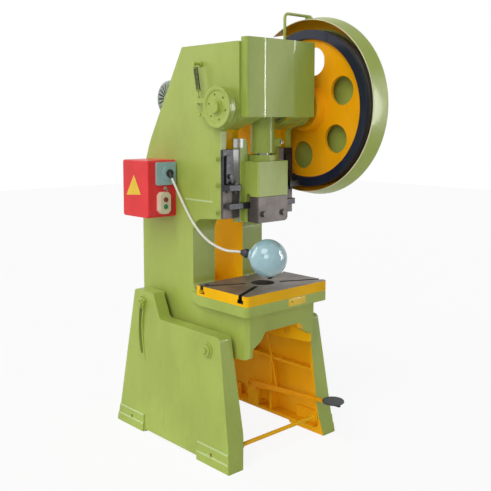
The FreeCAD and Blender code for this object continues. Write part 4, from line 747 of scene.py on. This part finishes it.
# ---------------------------------------------------------------- flywheel guard and its stays
# Two millimetre sheet: a hoop 98 mm deep, 876 mm inside its rolled lip and 920 mm across its far side, closed
# there by a plate with a window over the belts. It is open to the back, green outside and orange inside.
def turned(outline, start, way, name, steps=96, crease=32):
    """A piece turned about an axis from start along way; its outline is (along, radius) in millimetres."""
    form = bmesh.new()
    place = Vector(way).to_track_quat("Z", "Y").to_matrix().to_4x4()
    place.translation = Vector(start) / 1000
    rings = []
    for along, radius in outline:
        spots = steps if radius > 0.01 else 1
        rings.append([form.verts.new(place @ (Vector((radius * math.cos(2 * math.pi * i / steps),
                                                      radius * math.sin(2 * math.pi * i / steps),
                                                      along)) / 1000))
                      for i in range(spots)])
    for one, two in zip(rings, rings[1:]):
        for i in range(steps):
            j = (i + 1) % steps
            corners = [one[i % len(one)], one[j % len(one)], two[j % len(two)], two[i % len(two)]]
            corners = [v for k, v in enumerate(corners) if v not in corners[:k]]
            if len(corners) > 2:
                form.faces.new(corners)
    return meshed(form, name, crease)


AXLE = Vector((-300, 1712))
MOUTH = Vector((-270, 1712))
MOUTH_LOW, MOUTH_TOP = -60, 61
GUARD_SHEET = 0.002
BORDER_R = 398
WINDOW_R = 330
WINDOW_Y = -345
WINDOW_Z = 1642
guard_skin = [(302.4, 438.4), (302.2, 441.0), (304.4, 443.0), (309, 443.4), (388, 459.4), (393, 459.6),
              (397, 457.6), (399.4, 453.5), (400, 448), (400, BORDER_R), (400, WINDOW_R), (400, 180),
              (400, 0)]
form = bmesh.new()
form.from_mesh(turned(guard_skin, (0, *AXLE), (1, 0, 0), "guard_skin", 144))


def part_by(form, point, across, keep):
    """Part every face by a plane, then drop those whose middle (Y, Z in mm) keep refuses."""
    bmesh.ops.bisect_plane(form, geom=form.verts[:] + form.edges[:] + form.faces[:],
                           plane_co=Vector(point) / 1000, plane_no=across)
    lost = [f for f in form.faces if not keep(f.calc_center_median() * 1000)]
    bmesh.ops.delete(form, geom=lost, context="FACES")


def everywhere(spot):
    return True


def outside_mouth(spot):
    """False between the two edges of the mouth, which the hoop leaves open to the back."""
    angle = math.degrees(math.atan2(spot.z - MOUTH.y, spot.y - MOUTH.x))
    return not MOUTH_LOW < angle < MOUTH_TOP


def outside_window(spot):
    """False on the part of the end plate that is cut out over the belts."""
    far = (Vector(spot.yz) - AXLE).length > WINDOW_R
    return spot.x < 399.8 or far or spot.y < WINDOW_Y or spot.z < WINDOW_Z


for angle, keep in ((MOUTH_LOW, everywhere), (MOUTH_TOP, outside_mouth)):
    edge_way = math.radians(angle)
    part_by(form, (0, *MOUTH), (0, -math.sin(edge_way), math.cos(edge_way)), keep)
part_by(form, (0, WINDOW_Y, 0), (0, 1, 0), everywhere)
part_by(form, (0, 0, WINDOW_Z), (0, 0, 1), outside_window)
bmesh.ops.solidify(form, geom=form.faces[:], thickness=GUARD_SHEET)
# The rolled lip is painted pale cream: a painted highlight along its edge.
cream = enamel("lip_highlight", (0.700, 0.640, 0.420))
guard = piece_of(meshed(form, "rolled_guard"), "rolled_guard", (green, brightened_inside_orange, cream), "frame",
                 "green_paint", "flywheel_guard")
for face in guard.data.polygons:
    spot, normal = face.center * 1000, face.normal
    out = (Vector(spot.yz) - AXLE).length
    to_axis = -(normal.y * (spot.y - AXLE.x) + normal.z * (spot.z - AXLE.y)) / out
    # The lip's faces take the painted highlight cream; faces turned to the axis and the plate's inner border
    # take orange.
    if spot.x < 304.6:
        face.material_index = 2
    elif to_axis > 0.5 or (normal.x < -0.8 and out > BORDER_R):
        face.material_index = 1
fettled("guard_stays", "frame", "green_paint", 0.0008, (green,))

# ---------------------------------------------------------------- motor, its plate and the belts
# Foot-mounted fan-cooled motor, grey cast iron with cooling fins, on a green plate behind the frame.
# It drives the wheel by three V belts of black rubber.
grey = enamel("grey_enamel", (0.250, 0.290, 0.240), gloss=0.38, coat=0.1)
fettled("motor_plate", "frame", "green_paint", 0.0010, (green,))
fettled("motor_housing", "frame", "grey_paint", 0.0008, (grey,))
fettled("motor_fan_cover", "frame", "grey_paint", 0.0008, (grey,))
fettled("terminal_box", "frame", "grey_paint", 0.0010, (grey,))
black_plastic = moulded("black_plastic", (0.022, 0.022, 0.024), 0.38)
fettled("motor_fan", "rotor", "black_plastic", 0.0004, (black_plastic,))
fettled("motor_shaft", "rotor", "machined_steel", 0, (bright_steel,))
fettled("motor_pulley", "rotor", "cast_iron", 0.0006, (groove_iron,))


def loop_between(centre_a, radius_a, centre_b, radius_b, steps):
    """Points and outward ways of an open belt round two wheels, in Y and Z."""
    across = Vector(centre_b) - Vector(centre_a)
    heading = math.atan2(across.y, across.x)
    lean = math.acos((radius_a - radius_b) / across.length)
    spots = []
    for centre, radius, start, stop in ((centre_a, radius_a, heading + lean, heading - lean + 2 * math.pi),
                                        (centre_b, radius_b, heading - lean, heading + lean)):
        for i in range(steps + 1):
            angle = start + (stop - start) * i / steps
            way = Vector((math.cos(angle), math.sin(angle)))
            spots.append((Vector(centre) + way * radius, way))
    return spots


# One wrapped belt 16 x 11 mm with rounded corners is laid round both wheels; the group sets three abreast.
BELT_X = 322
BELT_OUT_R, BELT_PULLEY_R = 401.5, 59.5
MOTOR_Y, MOTOR_Z = 355, 1758
row, given, out = node_group("set_abreast", (("Count", "Int", 3), ("Pitch", "Vector", (0.02, 0, 0)),
                                             ("Finish", "Material", None)))
places = wire(row, "GeometryNodeMeshLine", {"mode": "OFFSET"}, Count=given["Count"], Offset=given["Pitch"])
copies = wire(row, "GeometryNodeInstanceOnPoints", Points=places.outputs[0], Instance=given["Geometry"])
closed_off(row, copies.outputs[0], given["Finish"], out)
belt_section = [(-7.4, -0.5), (-6.6, 0.0), (6.6, 0.0), (7.4, -0.5), (7.9, -1.4), (5.0, -10.6), (4.3, -11.0),
                (-4.3, -11.0), (-5.0, -10.6), (-7.9, -1.4)]
form = bmesh.new()
rings = []
for spot, way in loop_between((CRANK_Y, CRANK_Z), BELT_OUT_R, (MOTOR_Y, MOTOR_Z), BELT_PULLEY_R, 96):
    rings.append([form.verts.new(Vector((BELT_X + x, spot.x + way.x * depth, spot.y + way.y * depth)) / 1000)
                  for x, depth in belt_section])
for i, ring in enumerate(rings):
    after = rings[(i + 1) % len(rings)]
    for k in range(len(ring)):
        form.faces.new((ring[k], ring[k - 1], after[k - 1], after[k]))
belts = grown(meshed(form, "one_belt", 40), row, Finish=black_rubber)
piece_of(belts, "belt_set", (), "frame", "black_rubber", "v_belts")

# ---------------------------------------------------------------- control box
# Folded sheet box, red enamel, on the left wall; its lid hangs on two hinges at the back and has a plain
# yellow triangle painted on it. A push-button station and a lamp switch sit on its front.
LID_FACE_X = -412.5
red = enamel("red_enamel", (0.800, 0.048, 0.052), gloss=0.28, coat=0.06, sheen=0.10)
cream_plastic = moulded("cream_plastic", (0.720, 0.640, 0.470), 0.35)
fettled("control_box", "frame", "red_paint", 0.0012, (red,))
TRIANGLE = ((216, 1365), (284, 1259), (157, 1267))


def beyond(start, end, spot):
    """Above 0 to the left of a side of the triangle, seen with Y to the right and Z up."""
    return (end[0] - start[0]) * (spot.z - start[1]) - (end[1] - start[1]) * (spot.y - start[0])


sides = list(zip(TRIANGLE, TRIANGLE[1:] + TRIANGLE[:1]))


def on_lid(spot, normal):
    return spot.x < LID_FACE_X


def in_triangle(spot, normal):
    return on_lid(spot, normal) and all(beyond(a, b, spot) < 0 for a, b in sides)


fettled("box_door", "door", "red_paint", 0.0012, (red, bare_yellow), in_triangle,
        cuts=[(on_lid, (0, *a), (0, a[1] - b[1], b[0] - a[0])) for a, b in sides])
fettled("contactor", "frame", "cream_plastic", 0.0012, (cream_plastic,))
fettled("button_station", "frame", "cream_plastic", 0.0012, (cream_plastic,))
red_plastic = moulded("red_plastic", (0.22, 0.03, 0.03), 0.3)
fettled("stop_button", "stop", "red_plastic", 0.0015, (red_plastic,))
green_plastic = moulded("green_plastic", (0.02, 0.22, 0.09), 0.3)
fettled("start_button", "start", "green_plastic", 0.0015, (green_plastic,))
fettled("lamp_switch", "switch", "machined_steel", 0.0004, (bright_steel,))

# ---------------------------------------------------------------- lamp
# A milky blue bulb in a black socket on a sleeved gooseneck, which a black gland holds in a blue-grey base
# on the front of the box.
GLAND_X, GLAND_Z, GLAND_R = -294, 1374, 20.6
base_grey = enamel("base_grey", (0.330, 0.500, 0.530), gloss=0.34, coat=0.2)


def base_or_gland(spot, normal):
    """1 on the black gland, 0 on the base."""
    near = math.hypot(spot.x - GLAND_X, spot.z - GLAND_Z) < GLAND_R and spot.y < 76
    return 1 if near or spot.y < 73.9 else 0


sleeve = moulded("cream_sleeve", (0.760, 0.740, 0.640), 0.35, 500.0, 0.0001)
fettled("lamp_base", "frame", "grey_paint", 0.0008, (base_grey, black_plastic), base_or_gland)


# The gooseneck is a cream sleeve 13 mm thick over a wound core: its rings are 5 mm apart and 0.5 mm deep.
STEPS_PER_RING = 8
RING_MIDDLE = 0.96
neck, given, out = node_group("ringed_sleeve", (("Radius", "Float", 0.0065), ("Ring Pitch", "Float", 0.005),
                                                ("Ring Depth", "Float", 0.04), ("Finish", "Material", None)))
step = wire(neck, "ShaderNodeMath", {"operation": "MULTIPLY"})
neck.links.new(given["Ring Pitch"], step.inputs[0])
step.inputs[1].default_value = 1 / STEPS_PER_RING
even = wire(neck, "GeometryNodeResampleCurve", {"mode": "LENGTH"}, Curve=given["Geometry"],
            Length=step.outputs[0])
along = wire(neck, "GeometryNodeSplineParameter").outputs["Length"]
phase = wire(neck, "ShaderNodeMath", {"operation": "DIVIDE"})
neck.links.new(along, phase.inputs[0])
neck.links.new(given["Ring Pitch"], phase.inputs[1])
swing = wire(neck, "ShaderNodeMath", {"operation": "MULTIPLY"})
neck.links.new(phase.outputs[0], swing.inputs[0])
swing.inputs[1].default_value = 2 * math.pi
wave = wire(neck, "ShaderNodeMath", {"operation": "SINE"})
neck.links.new(swing.outputs[0], wave.inputs[0])
swell = wire(neck, "ShaderNodeMath", {"operation": "MULTIPLY_ADD"})
neck.links.new(wave.outputs[0], swell.inputs[0])
neck.links.new(given["Ring Depth"], swell.inputs[1])
swell.inputs[2].default_value = RING_MIDDLE
tube_section = wire(neck, "GeometryNodeCurvePrimitiveCircle", {"mode": "RADIUS"}, Resolution=20,
                    Radius=given["Radius"])
tube = wire(neck, "GeometryNodeCurveToMesh", Curve=even.outputs[0], Profile_Curve=tube_section.outputs[0],
            Scale=swell.outputs[0], Fill_Caps=True)
closed_off(neck, tube.outputs[0], given["Finish"], out)
LAMP = Vector((-143.5, -485, 996))
SOCKET_WAY = Vector((0.717, -0.66, -0.223)).normalized()
SOCKET = LAMP - SOCKET_WAY * 112
NECK_NEAR, NECK_END = 42, 19
neck_way = [(-290, 70, 1364), (-276, 36, 1290), (-271.5, -22, 1205), (-267, -76, 1136), (-262, -136, 1083),
            (-258, -206, 1044), (-256, -290, 1026), (-257, -352, 1023),
            tuple(SOCKET - SOCKET_WAY * NECK_NEAR), tuple(SOCKET - SOCKET_WAY * NECK_END)]
path = bpy.data.curves.new("neck_path", "CURVE")
path.dimensions = "3D"
line = path.splines.new("NURBS")
line.points.add(len(neck_way) - 1)
for point, spot in zip(line.points, neck_way):
    point.co = (*(Vector(spot) / 1000), 1)
line.order_u = 4
line.use_endpoint_u = True
line.resolution_u = 16
sleeve_mesh = grown(path, neck, Finish=sleeve)
for face in sleeve_mesh.polygons:
    face.use_smooth = True
piece_of(sleeve_mesh, "sleeved_neck", (), "frame", "cream_plastic", "gooseneck")

# The socket is a black moulding 49 mm long: a cone, a ribbed grip and a narrow collar round the bulb's neck.
RIBS = 7
RIB_PITCH = 2.2
socket_outline = [(-21, 0), (-21, 8.5), (-19, 11), (-2, 18), (0, 20.5), (3, 21)]
for i in range(RIBS):
    socket_outline += [(4 + i * RIB_PITCH, 21.8), (4.9 + i * RIB_PITCH, 21.8),
                       (5.2 + i * RIB_PITCH, 20.4), (5.9 + i * RIB_PITCH, 20.4)]
socket_outline += [(20.5, 21.5), (22, 19), (23, 16.8), (28, 16.8), (28, 0)]
piece_of(turned(socket_outline, SOCKET, SOCKET_WAY, "bulb_socket"), "bulb_socket", (black_plastic,), "frame",
         "black_plastic", "lamp_socket")

# The bulb is a milky blue globe of 180 mm; its wall draws in to a short neck of 46 mm at the socket.
GLOBE_R = 90.0
globe_outline = [(-96, 0), (-96, 20.0), (-95, 22.5), (-91, 23.2), (-88, 25.5)]
globe_outline += [(GLOBE_R * -math.cos(math.radians(a)), GLOBE_R * math.sin(math.radians(a)))
                  for a in range(19, 180, 2)]
globe_outline.append((GLOBE_R, 0))
milk_glass = moulded("milk_glass", (0.330, 0.525, 0.575), 0.12, 60.0, 0.0001, 0.6)
piece_of(turned(globe_outline, LAMP, SOCKET_WAY, "milky_bulb", 128), "milky_bulb", (milk_glass,), "frame",
         "lamp_enamel", "lamp_globe")
